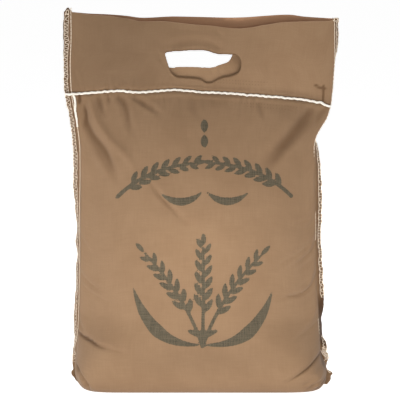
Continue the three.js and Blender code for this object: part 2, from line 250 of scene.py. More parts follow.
def newMaterial(name, roughness, specular=0.25, sheen=0.0):
    material = bpy.data.materials.new(name)
    material.use_nodes = True
    shader = material.node_tree.nodes["Principled BSDF"]
    shader.inputs["Roughness"].default_value = roughness
    shader.inputs["Specular IOR Level"].default_value = specular
    shader.inputs["Sheen Weight"].default_value = sheen
    return material, material.node_tree, shader


clothSettings = {
    "dark": linear(119, 91, 65),
    "mid": linear(137, 109, 82),
    "pale": linear(152, 124, 96),
    # painted shade colours: the first for folds, seams and the hand hole's edges, the second for the deepest
    # shade
    "hollow": linear(92, 66, 43),
    "deepShade": linear(82, 54, 30),
    # painted highlight where the cut top edge catches the light, partly the paler frayed fibres
    "cutEdge": linear(176, 146, 118),
    # the pocket's inner faces, painted paler as painted light
    "inside": linear(214, 156, 120),
    "ink": linear(60, 56, 44),
    "inkPale": linear(92, 85, 69),
    "threadsPerMetre": 1000.0,
    "holeStep": 0.0034,
    # distance from the twine in millimetres, then where the row starts and ends in metres
    "holeRows": [(-9.0, 0.045, 0.112), (-12.5, 0.052, 0.104), (12.0, 0.0, 0.07), (15.5, 0.008, 0.078)],
    "rowFade": 0.004,
}


# Rows of holes that an earlier seam has left beside the twine: dots along lines at set distances from it
def needleHoles(tree, place, s):
    axes = addNode(tree, "ShaderNodeSeparateXYZ", {0: place})
    along = math2(tree, "FRACT", math2(tree, "MULTIPLY", axes.outputs["X"], 1.0 / s["holeStep"]))
    offStep = math2(tree, "ABSOLUTE", math2(tree, "SUBTRACT", along, 0.5))
    fromTwine = pointValue(tree, "fromTwine")
    rows, fade = 0.0, s["rowFade"]
    for distance, start, end in s["holeRows"]:
        offRow = math2(tree, "ABSOLUTE", math2(tree, "SUBTRACT", fromTwine, distance))
        offDot = math2(tree, "ADD", math2(tree, "MULTIPLY", offStep, 3.4), offRow)
        dots = ramp(tree, offDot, 0.35, 0.95, 1.0, 0.0)
        inside = math2(tree, "MULTIPLY", ramp(tree, axes.outputs["X"], start - fade, start + fade),
                       ramp(tree, axes.outputs["X"], end - fade, end + fade, 1.0, 0.0))
        rows = math2(tree, "MAXIMUM", rows, math2(tree, "MULTIPLY", dots, inside))
    return rows


def clothMaterial(s):
    material, tree, shader = newMaterial("sackCloth", 0.88, specular=0.2, sheen=0.12)
    place = addNode(tree, "ShaderNodeUVMap", uv_map="clothPlace").outputs["UV"]
    weave = fillGroup(tree, weaveGroup, {"Place": place, "Threads per Metre": s["threadsPerMetre"]})
    slub = fillGroup(tree, slubGroup, {"Place": place, "Over": weave.outputs["Over"]})
    hollow, cut, ink = pointValue(tree, "hollow"), pointValue(tree, "cutEdge"), pointValue(tree, "ink")
    streaked = mixColour(tree, ramp(tree, slub.outputs["Streak"], 0.32, 0.68), s["dark"], s["pale"])
    base = mixColour(tree, 0.2, s["mid"], streaked)
    clouded = mixColour(tree, ramp(tree, slub.outputs["Cloud"], 0.35, 0.7, 0.0, 0.28), base, s["dark"])
    gapped = mixColour(tree, math2(tree, "MULTIPLY", weave.outputs["Gap"], 0.35), clouded, s["dark"])
    # the painted shade darkens the cloth from 0 to 1 towards the shade colour, and further from 1 to 2
    # towards the deep shade colour
    shaded = mixColour(tree, ramp(tree, hollow, 0.0, 1.0, 0.0, 0.75), gapped, s["hollow"])
    deepShaded = mixColour(tree, ramp(tree, hollow, 1.0, 2.0), shaded, s["deepShade"])
    grain = addNode(tree, "ShaderNodeTexNoise", {"Vector": place, "Scale": 620.0, "Detail": 2.0})
    wobble = math2(tree, "MULTIPLY", math2(tree, "SUBTRACT", grain.outputs["Fac"], 0.5), 1.2)
    inside = ramp(tree, math2(tree, "ADD", ink, wobble), -0.35, 0.35, 1.0, 0.0)
    cover = ramp(tree, grain.outputs["Fac"], 0.36, 0.6, 1.0, 0.9)
    skipped = math2(tree, "SUBTRACT", cover, math2(tree, "MULTIPLY", weave.outputs["Gap"], 0.16))
    inkTone = mixColour(tree, ramp(tree, slub.outputs["Streak"], 0.35, 0.65), s["ink"], s["inkPale"])
    printed = mixColour(tree, math2(tree, "MULTIPLY", inside, skipped, clamp=True), deepShaded, inkTone)
    # painted highlight along the cut top edge, partly fray
    edgeHighlighted = mixColour(tree, ramp(tree, cut, 0.1, 0.9, 0.35, 0.0), printed, s["cutEdge"])
    # painted light and shade, darker or paler, and from 2 to 3 the inside of the cloth in the pocket painted
    # paler, as painted light
    tone = pointValue(tree, "tone")
    lightAndShaded = mixColour(tree, 1.0, edgeHighlighted, ramp(tree, tone, -1.6, 1.6, 0.78, 1.22), "MULTIPLY")
    pocketLight = mixColour(tree, ramp(tree, tone, 2.0, 3.0), lightAndShaded, s["inside"])
    pins = needleHoles(tree, place, s)
    # the needle holes are dark dots in the painted shade colour
    pricked = mixColour(tree, math2(tree, "MULTIPLY", pins, 0.45), pocketLight, s["hollow"])
    tree.links.new(pricked, shader.inputs["Base Color"])
    height = math2(tree, "SUBTRACT", weave.outputs["Height"], math2(tree, "MULTIPLY", pins, 1.5))
    bump = addNode(tree, "ShaderNodeBump", {"Height": height, "Strength": 0.35, "Distance": 0.00022})
    tree.links.new(bump.outputs["Normal"], shader.inputs["Normal"])
    return material


def threadMaterial(name, pale, shade, roughness, size):
    material, tree, shader = newMaterial(name, roughness, specular=0.3, sheen=0.3)
    fibre = fillGroup(tree, fibreGroup, {"Size": size})
    colour = mixColour(tree, ramp(tree, fibre.outputs["Grain"], 0.3, 0.7), shade, pale)
    tree.links.new(colour, shader.inputs["Base Color"])
    bump = addNode(tree, "ShaderNodeBump", {"Height": fibre.outputs["Grain"], "Strength": 0.5,
                                            "Distance": 0.0002})
    tree.links.new(bump.outputs["Normal"], shader.inputs["Normal"])
    return material


sackCloth = clothMaterial(clothSettings)
whiteTwine = threadMaterial("whiteTwine", linear(255, 252, 244), linear(240, 230, 214), 0.8, 1800.0)
seamThread = threadMaterial("seamThread", linear(243, 228, 208), linear(208, 185, 159), 0.8, 2600.0)
print("materials made")


# The sack's shape, the same sizes as its solid

sackSizes = {
    "closureHeight": 342.0,  # base to twine
    "headerHeight": 90.0,
    "halfDepth": 52.0,
    "baseHalfDepth": 38.5,
    "baseRounding": 26.0,
    "cloth": 0.9,
    "holeEnds": (-0.285, 0.298),  # across the header, from -1 at the left seam to 1 at the right one
    "backwardLean": 6.0,
}

# By height: the place of each seam across, the width of its allowance, and the angle in degrees at which the
# allowance stands, from 0 for straight sideways to 90 for straight back
seamX = {
    "left": through((0, -138.5), (6, -143.5), (14, -145.8), (24, -146.2), (33, -145.4), (44, -143.6),
                    (75, -140.5), (160, -138), (276, -136.8), (305, -139.2), (342, -145), (385, -146.2),
                    (432, -145.2)),
    "right": through((0, 142.5), (8, 146.6), (15, 147.8), (22, 147.4), (28, 145.4), (34, 142.6), (40, 140.8),
                     (50, 139.6), (75, 138), (120, 134.6), (160, 132.6), (285, 131), (303, 131.8),
                     (315, 137.4), (325, 143.2), (335, 146.6), (345, 148.7), (390, 151.8), (432, 150.8)),
}
allowance = {
    "left": through((0, 1.2), (10, 2), (26, 2.4), (34, 3.6), (42, 6.5), (56, 8.2), (432, 8.2)),
    "right": through((0, 6), (5, 6.2), (8, 5.8), (12.5, 7.2), (17, 1.8), (22, 0.8), (27, 1.8), (31, 4.6),
                     (36, 6.6), (42, 7.2), (52, 8.2), (432, 8.2)),
}
turn = {
    "left": through((0, -15), (20, -5), (32, 30), (45, 70), (62, 58), (80, 48), (110, 62), (160, 64),
                    (195, 62), (215, 48), (240, 24), (270, 22), (320, 22), (342, 12), (432, 8)),
    "right": through((0, -25), (12, -15), (22, 5), (30, 8), (44, 14), (52, 55), (60, 72), (80, 68), (105, 34),
                     (150, 26), (175, 44), (190, 46), (208, 28), (245, 22), (262, 40), (285, 66), (300, 90),
                     (380, 88), (400, 66), (432, 48)),
}
# From -1 at the left seam to 1 at the right one: the twine's height, the heights of both top edges, and how
# far the front panel of the header steps forward
closureLine = through((-1, 340.5), (-0.65, 344.4), (-0.45, 342.8), (-0.22, 345.5), (0, 343), (0.5, 338.5),
                      (0.8, 334), (1, 328))
topEdge = {
    "front": through((-1, 433.8), (-0.87, 431.2), (-0.72, 429.8), (-0.65, 428.4), (-0.58, 426.8),
                     (-0.468, 423.8), (-0.286, 423.8), (-0.141, 421.4), (-0.019, 419.6), (0.087, 418.5),
                     (0.193, 416.3), (0.269, 415.6), (0.345, 416.3), (0.49, 420), (0.6, 422.4),
                     (0.742, 423.4), (0.9, 423.9), (0.982, 424.2), (1, 426.5)),
    "back": through((-1, 433.8), (-0.87, 432), (-0.73, 431), (-0.585, 429.3), (-0.485, 427.2), (-0.4, 427.1),
                    (-0.287, 428), (-0.218, 428.3), (-0.019, 427.7), (0.195, 427.1), (0.348, 427.7),
                    (0.493, 429.3), (0.6, 430.3), (0.684, 430.3), (0.768, 428.6), (0.882, 427.4), (1, 426.5)),
}
forwardStep = through((-1, 0), (-0.73, 2.5), (-0.45, 4.2), (0, 6), (0.27, 7.2), (0.5, 6.4), (0.75, 4.6),
                      (0.9, 2.6), (1, 0))
# The hand hole's lower and upper edges across the header, and how far the cloth round it is pulled sideways
handHole = {
    "front": {
        "low": through((-0.285, 386.8), (-0.272, 380), (-0.26, 374.8), (-0.241, 367.4), (-0.221, 363.4),
                       (-0.19, 360.5), (-0.136, 359.6), (-0.09, 359), (-0.036, 358.2), (-0.005, 357.1),
                       (0.026, 354.3), (0.057, 353.5), (0.088, 354.8), (0.118, 357.1), (0.155, 359.5),
                       (0.201, 361.2), (0.246, 362.5), (0.276, 365.3), (0.293, 369.9), (0.298, 374)),
        "high": through((-0.285, 386.8), (-0.273, 388.5), (-0.231, 389.5), (-0.171, 390), (-0.095, 390.7),
                        (0.004, 390.7), (0.042, 390), (0.08, 388), (0.118, 386.5), (0.217, 386.3),
                        (0.255, 385.2), (0.278, 382.4), (0.292, 378.5), (0.298, 374)),
        "shift": 0.0,
    },
    "back": {
        "low": through((-0.285, 386), (-0.27, 379), (-0.24, 373.5), (-0.179, 370.4), (-0.133, 371.1),
                       (-0.057, 371.3), (0.02, 371), (0.097, 370.4), (0.15, 371.3), (0.203, 374.2),
                       (0.256, 377), (0.278, 380.4), (0.292, 385.4), (0.298, 388.5)),
        "high": through((-0.285, 386), (-0.27, 393), (-0.23, 397), (-0.1, 398.6), (0.1, 398.6), (0.23, 397.5),
                        (0.27, 395), (0.29, 391.5), (0.298, 388.5)),
        "shift": -11.0,
    },
}
outward = {"front": -1.0, "back": 1.0}

# How finely the cloth is divided
clothGrid = {"columnsBeside": 64, "columnsAcross": 46, "bodyRows": 176, "rowsBelow": 19, "rowsAbove": 19,
             "allowanceColumns": 5}

# A fold has its width, its depth and a route of points (x, z) that it follows. A valley can have a low rim on
# both sides. A crease is a narrow groove with the cloth swelling above it. With an open end a fold also fades
# at its route's start, and "dark" adds shade.
def valley(width, depth, *route, **more):
    return {"kind": "valley", "width": width, "depth": depth, "route": route, **more}


def ridge(width, depth, *route, **more):
    return {"kind": "ridge", "width": width, "depth": depth, "route": route, **more}


def crease(width, depth, groove, *route, **more):
    return {"kind": "crease", "width": width, "depth": depth, "groove": groove, "route": route, **more}


folds = {
    "front": [
        # the top left corner: the pocket beside the loose end, the long valley and the gathers at the twine
        valley(1.8, 3.4, (-138, 342), (-137, 337), (-138, 328), dark=2.6),
        valley(2.4, 2.2, (-133, 331), (-130.5, 322), (-130, 313), (-132, 302), dark=1.4, openEnd=True),
        ridge(4.6, 3.4, (-127, 340), (-122, 321), (-115, 308), (-109, 299), (-98, 286), (-86, 275),
              (-72, 255)),
        valley(4.6, 4.2, (-130, 307), (-123, 294), (-115, 285), (-108, 275), (-102, 262), (-94, 244),
               rim=0.1),
        ridge(6, 1.6, (-125, 284), (-109, 258), (-97, 238), openEnd=True),
        valley(3.2, 2.6, (-117, 342), (-115, 330), (-110, 314), rim=0.2),
        valley(2.4, 1.6, (-105, 342), (-103, 330), rim=0.3),
        valley(3.6, 3.0, (-93, 341), (-85, 327), (-81, 310), (-76, 296), rim=0.25),
        valley(3.0, 2.0, (-76, 340), (-65, 332), (-54, 326), (-43, 318), rim=0.3),
        valley(3.4, 1.5, (-9, 340), (-5, 324), (0, 315), rim=0.3),
        crease(7, 1.7, 2.0, (-59, 249), (-50, 236), (-42, 226), (-32, 216), (-21, 205), (-15, 199),
               openEnd=True),
        valley(6, 1.0, (-18, 305), (-14, 291), (-14, 270), openEnd=True),
        # the top right corner
        valley(7, 3.6, (126, 320), (109, 298), (93, 281), (71, 255), rim=0.1),
        ridge(4, 1.7, (124, 300), (113, 288), (101, 277), (83, 254)),
        ridge(8, 1.6, (116, 332), (97, 313), (75, 290), (57, 273)),
        valley(2.4, 1.4, (67, 333), (70, 321), (75, 312), rim=0.3),
        valley(4, 2.6, (143, 326), (137, 314), (131, 302), rim=0.2),
        # the creases that run in from the right seam
        crease(4, 1.1, 0.5, (133, 210), (123, 199), (113, 195), (102, 193)),
        crease(4, 1.2, 0.7, (134, 203), (127, 192), (119, 185)),
        crease(4.5, 2.4, 2.0, (134, 176), (129, 162), (121, 155), (113, 150), (101, 147)),
        valley(2.8, 1.6, (131, 174), (118, 162), (110, 157), (100, 153), (84, 145), rim=0.3),
        valley(3, 1.1, (131, 151), (118, 142), (108, 138), rim=0.3),
        crease(5.5, 2.8, 2.0, (135, 135), (129, 121), (122, 115), (114, 112), (100, 111), (84, 107)),
        valley(2.6, 0.9, (130, 131), (119, 123), (108, 118), rim=0.3),
        crease(4, 1.4, 0.7, (137, 90), (131, 78), (119, 72)),
        crease(4, 1.8, 1.3, (137, 77), (126, 70), (116, 66), (102, 59)),
        crease(5, 2.0, 2.4, (144, 44), (137, 39), (130, 35), (122, 30), (112, 24), (103, 18), (96, 14),
               narrow=1.35, dark=1.8),
        # the creases that run in from the left seam
        crease(4, 1.2, 0.5, (-139, 181), (-130, 167), (-123, 157)),
        crease(5, 1.6, 1.3, (-140, 137), (-129, 126), (-120, 120), (-105, 114)),
        crease(4, 1.2, 0.8, (-138, 123), (-127, 114), (-114, 108), (-98, 103)),
        crease(3.5, 1.6, 1.3, (-141, 80), (-136, 71), (-129, 64)),
        crease(5, 2.4, 3.0, (-143, 65), (-136, 62), (-127, 60), (-117, 56), (-107, 53), dark=1.5),
        crease(4, 1.5, 1.4, (-112, 56), (-99, 53), (-84, 49)),
    ],
    "back": [
        valley(8, 5.0, (136, 336), (120, 306), (92, 262), rim=0.3),
        valley(8, 5.0, (-138, 334), (-118, 300), (-84, 258), rim=0.3),
        ridge(6, 2.0, (-120, 322), (-92, 284), (-66, 250)),
        valley(3.2, 3.0, (96, 342), (86, 316), (78, 290), rim=0.4),
        valley(2.6, 2.2, (60, 342), (52, 318), rim=0.4),
        valley(3, 2.4, (30, 343), (24, 320), (10, 300), rim=0.4),
        valley(2.6, 2.0, (-14, 344), (-18, 322), rim=0.4),
        valley(3.2, 2.8, (-48, 343), (-44, 318), (-32, 296), rim=0.4),
        valley(2.6, 2.2, (-84, 343), (-82, 322), rim=0.4),
        crease(4.5, 2.0, 1.4, (134, 178), (122, 160), (94, 146)),
        crease(4.5, 2.0, 1.4, (134, 118), (118, 98), (92, 90)),
        crease(4.5, 2.0, 1.4, (-138, 158), (-120, 138), (-94, 128)),
        crease(4.5, 2.6, 2.0, (-142, 92), (-124, 72), (-94, 60)),
        crease(5, 2.8, 2.4, (142, 56), (124, 34), (100, 14)),
        crease(5, 2.8, 2.4, (-146, 50), (-132, 26), (-112, 8)),
    ],
}


# Place along a route, 0 to 1, and distance above it, for every point of the cloth
def beside(route, x, z):
    points = np.array(route, float)
    if len(points) > 2:
        steps = np.concatenate([[0], np.linalg.norm(np.diff(points, axis=0), axis=1).cumsum()])
        places = np.linspace(0, steps[-1], 4 * len(points))
        points = np.stack([through(*zip(steps, points[:, k]))(places) for k in (0, 1)], axis=1)
    flip = -1.0 if points[0, 0] > points[-1, 0] else 1.0
    pieces = np.linalg.norm(np.diff(points, axis=0), axis=1)
    starts = np.concatenate([[0.0], np.cumsum(pieces)])
    runOn = 60.0  # the end pieces go on straight past the route
    x, z = np.broadcast_arrays(np.asarray(x, float), np.asarray(z, float))
    best = np.full(x.shape, 1e9)
    along, above = np.zeros(x.shape), np.zeros(x.shape)
    for k in range(len(points) - 1):
        d = (points[k + 1] - points[k]) / pieces[k]
        s = (x - points[k, 0]) * d[0] + (z - points[k, 1]) * d[1]
        low = -runOn if k == 0 else 0.0
        high = pieces[k] + (runOn if k == len(points) - 2 else 0.0)
        inside = np.clip(s, low, high)
        ox = x - (points[k, 0] + inside * d[0])
        oz = z - (points[k, 1] + inside * d[1])
        distance = np.hypot(ox, oz)
        nearer = distance < best
        best = np.where(nearer, distance, best)
        along = np.where(nearer, (starts[k] + inside) / starts[-1], along)
        above = np.where(nearer, flip * np.sign(d[0] * oz - d[1] * ox) * distance, above)
    return along, above


# How far one fold moves the cloth outwards
def foldShape(fold, x, z):
    along, above = beside(fold["route"], x, z)
    width = fold["width"]
    start = smooth(-0.05, 0.4, along) if fold.get("openEnd") else smooth(-0.15, 0.05, along)
    fade = start * (1 - smooth(0.5, 1.12, along))
    if fold["kind"] == "valley":
        rim = fold.get("rim", 0.0) * bell((np.abs(above) - 2.0 * width) / (0.9 * width))
        shape = rim - bell(above / width)
    elif fold["kind"] == "ridge":
        shape = bell(above / width)
    else:
        swell = smooth(-0.5, width, above) * np.exp(-np.maximum(above - width, 0) / (1.6 * width))
        shape = swell - fold["groove"] / fold["depth"] * bell((above + 0.4) / fold.get("narrow", 1.9))
    return fold["depth"] * fade * shape


def foldRelief(side, x, z):
    return sum(foldShape(fold, x, z) for fold in folds[side])


# Extra shade for the deepest folds
def foldShade(chosen, x, z):
    shade = np.zeros(np.broadcast(x, z).shape)
    for fold in chosen:
        if "dark" in fold:
            shade = shade + fold["dark"] * np.minimum(foldShape(fold, x, z), 0)
    return shade


def riceRelief(side, x, z):
    shift = 0.0 if side == "front" else 2.1
    slow = 0.6 * np.sin(x / 37 + z / 90 + shift) * np.cos(z / 44 + 0.7 * shift)
    return 0.9 * (slow + 0.4 * np.sin(z / 23 - x / 61 + 2 * shift))


gatherSettings = {"from": -146.0, "to": 150.0, "apart": (6.0, 13.0), "lean": (-0.35, 0.35),
                  "width": (1.3, 2.4), "depth": (0.5, 1.5), "reach": (6.0, 15.0)}


# Short gathers that the twine makes in the cloth, each a narrow valley that fades away from the twine
def gathers(seed, x, distance):
    s, local = gatherSettings, np.random.default_rng(seed)
    relief = np.zeros(np.broadcast(x, distance).shape)
    place = s["from"]
    while place < s["to"]:
        place += local.uniform(*s["apart"])
        lean, width, depth, reach = (local.uniform(*s[key]) for key in ("lean", "width", "depth", "reach"))
        off = x - place - lean * distance
        shape = 0.35 * bell((np.abs(off) - 2 * width) / width) - bell(off / width)
        relief += depth * np.exp(-((distance / reach) ** 1.3)) * shape
    return relief


def crumple(side, x, z):
    seed = 21 if side == "front" else 31
    broad, middle = 0.55 * lumps(x, z, 34, seed), 0.2 * lumps(x + z, z - x, 15, seed + 1)
    return broad + middle + 0.06 * lumps(x, z, 6, seed + 2)


# The bottom left corner: the cloth outside a slanting line lies further back, folded as an ear
earLine = [(-147, 35), (-141, 28), (-135, 21), (-129, 13), (-126, 5), (-124, -4)]


def earStep(side, x, z):
    if side == "back":
        return 0.0
    along, above = beside(earLine, x, z)
    return -3.6 * smooth(-0.12, 0.1, along) * smooth(-1.5, 5.0, -above)


# Small forms of the ears: a groove along the left one's line and its crumple, then the right one's crumple
def earRelief(side, x, z):
    if side == "back":
        return np.zeros(np.broadcast(x, z).shape)
    along, above = beside(earLine, x, z)
    low = smooth(-0.12, 0.1, along)
    swell = 0.9 * np.exp(-np.maximum(above, 0) / 6) * smooth(-1.5, 1.5, above)
    relief = low * (swell - 2.8 * bell((above + 1.8) / 1.9))
    outside = 2.2 * bell((above + 8) / 3.2) + 1.2 * lumps(x + 0.4 * z, z, 7, 57)
    relief += low * smooth(2, 6, -above) * outside
    relief += sum(foldShape(fold, x, z) for fold in earFolds)
    # the right ear lies below a slanting line
    inEar = smooth(112, 128, x) * (1 - smooth(24, 36, z - 0.55 * (x - 136)))
    return relief + inEar * (1.8 * lumps(x, z - 0.5 * x, 8, 58) + 0.7 * lumps(x, z, 4.5, 59))


earFolds = [
    valley(1.7, 2.2, (-143, 27), (-142, 18), (-141, 10), dark=1.2),
    valley(1.7, 2.8, (141, 37), (143.5, 30), (146, 20), dark=1.6),
    valley(2.2, 1.0, (139, 26), (136, 20), (130, 16), openEnd=True),
    crease(2.6, 1.6, 2.4, (149, 15), (144, 11), (138, 7), (131, 2), dark=1.2),
    crease(3.0, 0.8, 1.6, (138, 14), (128, 9), (119, 3), dark=0.9),
    valley(2.0, 0.9, (132, 16), (122, 12), (112, 9), openEnd=True),
]


# Half the depth of the filled part
def fillDepth(across, height):
    s = sackSizes
    share = np.clip(height / s["closureHeight"], 0, 1)
    wedge = (1 - share**3.2) ** 0.8  # thins towards the twine
    fromEdge = 1 - np.clip(height / s["baseRounding"], 0, 1)
    base = mix(s["baseHalfDepth"], s["halfDepth"], np.sqrt(1 - fromEdge**2)) / s["halfDepth"]
    boxy = 1 - smooth(0, 90, height)  # the section is boxy near the base and pointed near the twine
    pointed = smooth(200, s["closureHeight"], height)
    power = mix(mix(2.3, 12, boxy), 2.0, pointed)
    root = mix(mix(0.86, 0.5, boxy), 1.0, pointed)
    return s["halfDepth"] * wedge * base * np.clip(1 - np.abs(across) ** power, 0, 1) ** root


# Close to the seams the full cloth bulges a little past them, and the allowances come out from behind it.
def xBetweenSeams(across, height):
    x = mix(seamX["left"](height), seamX["right"](height), (across + 1) / 2)
    past = smooth(0.88, 0.974, np.abs(across)) * (1 - smooth(0.98, 1.0, np.abs(across)))
    reach = np.where(across > 0, 2.6 + 1.2 * ripple(height, 19, 45), 2.4)
    return x + np.sign(across) * reach * past * smooth(30, 70, height) * (1 - smooth(270, 292, height))


# Unit normals of a grid of points, by the way the grid is laid out
def gridNormals(points):
    acrossWay = np.gradient(points, axis=1)
    upWay = np.gradient(points, axis=0)
    normals = np.cross(acrossWay, upWay)
    return normals / np.maximum(np.linalg.norm(normals, axis=2, keepdims=True), 1e-9)


def bodySurface(side, across, up):
    height = up * sackSizes["closureHeight"]
    x = xBetweenSeams(across, height) * np.ones(np.broadcast(across, up).shape)
    z = up * closureLine(across)
    y = outward[side] * (sackSizes["cloth"] + fillDepth(across, height))
    points = np.stack([x, y * np.ones_like(x), z * np.ones_like(x)], axis=2)
    normals = gridNormals(points) * -outward[side]
    toTwine = closureLine(across) - points[..., 2]
    atRim = (1 - across**26) * smooth(0, 0.03, up)
    z = points[..., 2]
    relief = foldRelief(side, x, z) + riceRelief(side, x, z) + crumple(side, x, z)
    relief = (relief + earRelief(side, x, z)) * (1 - smooth(0.985, 1, up))
    relief += gathers(11 if side == "front" else 12, x, toTwine) * smooth(0, 4, toTwine)
    relief += 1.5 * bell((toTwine - 4.2) / 2.6)
    moved = points + normals * (atRim * (relief + earStep(side, x, z)))[..., None]
    moved[..., 1] = outward[side] * np.maximum(outward[side] * moved[..., 1], sackSizes["cloth"])
    moved[0, :, 2] = 0.0
    return moved, relief + foldShade(folds[side] + (earFolds if side == "front" else []), x, z)


# Heights of the header's rows in every column: up to the hole's lower edge, then from its upper edge. Beside
# the hole both edges run on as one line to the seam.
def headerHeights(side, across, g):
    hole, (first, last) = handHole[side], sackSizes["holeEnds"]
    inside = (across > first + 1e-9) & (across < last - 1e-9)
    ragged = 0.3 * ripple(across * 150, 3.0, 41 if side == "front" else 42) * inside
    edge = np.sign(across)
    atSeam = (closureLine(edge) + topEdge[side](edge)) / 2
    end = np.where(across < 0, hole["low"](first), hole["low"](last))
    beyond = np.where(across < 0, (first - across) / (first + 1), (across - last) / (1 - last))
    line = mix(end, atSeam, np.clip(beyond, 0, 1))
    low = np.where(inside, hole["low"](across) + ragged, line)
    high = np.where(inside, hole["high"](across) + ragged, line)
    below = np.linspace(0, 1, g["rowsBelow"] + 1)[:, None]
    above = np.linspace(0, 1, g["rowsAbove"] + 1)[:, None]
    return np.concatenate([mix(closureLine(across), low, below), mix(high, topEdge[side](across), above)])


# Small forms of the header: creases at its left seam and over the hole, and the tuck near its right end
headerFolds = {
    "front": [
        valley(2.6, 2.6, (-143, 366), (-139, 352), (-136, 341), rim=0.4),
        valley(2.0, 1.4, (-126, 343), (-124, 356), rim=0.4),
        valley(2.0, 1.5, (-121, 343), (-120, 361), rim=0.4),
        valley(2.0, 1.4, (-107, 343), (-106, 355), rim=0.4),
        valley(2.2, 1.8, (-94, 343), (-97, 364), rim=0.4),
        valley(2.0, 1.4, (-82, 343), (-82, 357), rim=0.4),
        valley(2.2, 1.9, (-72, 343), (-76, 365), rim=0.4),
        valley(4.5, 2.2, (-44, 394), (-23, 400), (-6, 402), (11, 399), (29, 390), rim=0.2, openEnd=True),
        valley(2.4, 1.3, (4, 404), (18, 397), (27, 388), openEnd=True),
        valley(3, 0.8, (-30, 411), (-10, 413), (8, 410), openEnd=True),
        valley(3, 1.4, (-50, 394), (-46, 384), (-39, 373), openEnd=True),
        crease(3, 0.5, 0.5, (17, 417), (22, 411), (29, 403), openEnd=True),
        crease(3, 0.3, 0.3, (-138, 364), (-91, 364.5), (-45, 364), openEnd=True),
        valley(1.2, 2.6, (131, 350.5), (139, 347.5), (145.5, 346), dark=4.2),
        valley(1.2, 2.6, (140.5, 350), (140, 328), dark=4.2),
        valley(2.0, 1.0, (134, 350), (136, 338), openEnd=True),
    ],
    "back": [
        valley(1.8, 1.4, (9, 374), (10, 360), rim=0.4),
        valley(1.8, 1.6, (17, 377), (19, 362), rim=0.4),
        valley(2.0, 1.0, (24, 380), (27, 366), rim=0.4),
        valley(2.4, 2.0, (-100, 345), (-96, 362), rim=0.4),
        valley(2.4, 2.0, (60, 342), (64, 360), rim=0.4),
    ],
}


def headerRelief(side, x, z, fromTwine):
    relief = gathers(13 if side == "front" else 14, x, fromTwine) * smooth(0, 4, fromTwine)
    relief += 1.6 * bell((fromTwine - 4.0) / 2.4)
    relief += 0.8 * lumps(x, z, 38, 51 if side == "front" else 52) * smooth(0, 30, fromTwine)
    relief += 0.25 * lumps(x, z, 13, 53 if side == "front" else 54)
    return relief + sum(foldShape(fold, x, z) for fold in headerFolds[side])


# Keeps the two panels from meeting
def softFloor(gap):
    return 0.5 * (gap + np.sqrt(gap * gap + 1.2)) - 0.35


# One face of a header panel: layer 1 is its outer face and -1 its inner one
def headerSurface(side, across, z, layer):
    low = closureLine(across)
    up = np.clip((z - low) / (topEdge[side](across) - low), 0, 1)
    height = sackSizes["closureHeight"] + up * sackSizes["headerHeight"]
    skew = handHole[side]["shift"] * bell(across / 0.75) * np.sin(math.pi * up) * (1 - across**4)
    x = xBetweenSeams(across, height) + skew
    if side == "front":
        step = forwardStep(across) * (1 - np.exp(-((up / 0.42) ** 1.5))) * (1 - 0.15 * up)
    else:
        step = sackSizes["backwardLean"] * (1 - across**2) * up**1.2
    half = sackSizes["cloth"] / 2
    relief = headerRelief(side, x, z, z - low) * (1 - np.abs(across) ** 12)
    y = outward[side] * (half + softFloor(step + relief) + layer * half)
    return np.stack([x, y * np.ones_like(x), z * np.ones_like(x)], axis=2)


# A point on a seam allowance: "out" from the seam, then "off" its middle towards its front face. The
# allowance is a little wavy, more so near the base, and its top left corner turns up.
def allowancePoint(edge, height, z, out, off):
    seed = 61 if edge == "left" else 62
    wave = ripple(height, 17, seed) + 0.5 * ripple(height, 8, seed, 40)
    low = smooth(0, 14, height) * (1 - smooth(24, 60, height))
    share = np.clip(out / 8, 0, 1)
    angle = np.radians(turn[edge](height) + wave * (9 + 14 * low) * share)
    side = -1.0 if edge == "left" else 1.0
    x = seamX[edge](height) + side * (out * np.cos(angle)) + off * side * np.sin(angle)
    y = out * np.sin(angle) - off * np.cos(angle) + low * share * 2.6 * lumps(height, out, 4.5, seed + 9)
    lift = 5.5 * bell((out - 4.2) / 2.6) * smooth(421, 431, height) if edge == "left" else 0.0
    return np.stack([x, y, z + lift + 0 * x], axis=-1)


def allowanceWidth(edge, height):
    seed = 63 if edge == "left" else 64
    ragged = 0.4 * ripple(height, 11, seed) + 0.45 * ripple(height, 3.6, seed + 5)
    low = smooth(0, 10, height) * (1 - smooth(28, 52, height))
    return allowance[edge](height) + 0.6 + ragged * (1 + 2.2 * low)


def columnPlaces(g):
    first, last = sackSizes["holeEnds"]

    def eased(low, high, count, share):
        t = np.linspace(0, 1, count + 1)
        return mix(low, high, mix(t, (1 - np.cos(math.pi * t)) / 2, share))

    left = eased(-1, first, g["columnsBeside"], 0.55)
    middle = eased(first, last, g["columnsAcross"], 0.92)
    right = eased(last, 1, g["columnsBeside"], 0.55)
    return np.concatenate([left, middle[1:-1], right])


# The print: rice ears in plain shapes, drawn as a distance to the nearest edge in millimetres, less than
# nothing inside

def grainShape(x, z, place, angle, length, width):
    c, s = math.cos(math.radians(angle)), math.sin(math.radians(angle))
    along = (x - place[0]) * c + (z - place[1]) * s
    across = -(x - place[0]) * s + (z - place[1]) * c
    half, wide = length / 2, width / 2
    radius = (half**2 + wide**2) / (2 * wide)  # two arcs that meet in points
    far = np.hypot(along, np.abs(across) + radius - wide) - radius
    tip = np.hypot(np.abs(along) - half, across)
    return np.where(np.abs(along) < half, far, tip)


def strokeShape(x, z, route, widths):
    t = np.linspace(0, 1, 110)
    points = np.array(route, float)
    a, b, c = points
    path = ((1 - t) ** 2)[:, None] * a + (2 * t * (1 - t))[:, None] * b + (t**2)[:, None] * c
    radii = np.interp(t, np.linspace(0, 1, len(widths)), np.array(widths) / 2)
    best = np.full(np.shape(x), 99.0)
    for (px, pz), r in zip(path, radii):
        best = np.minimum(best, np.hypot(x - px, z - pz) - r)
    return best, path


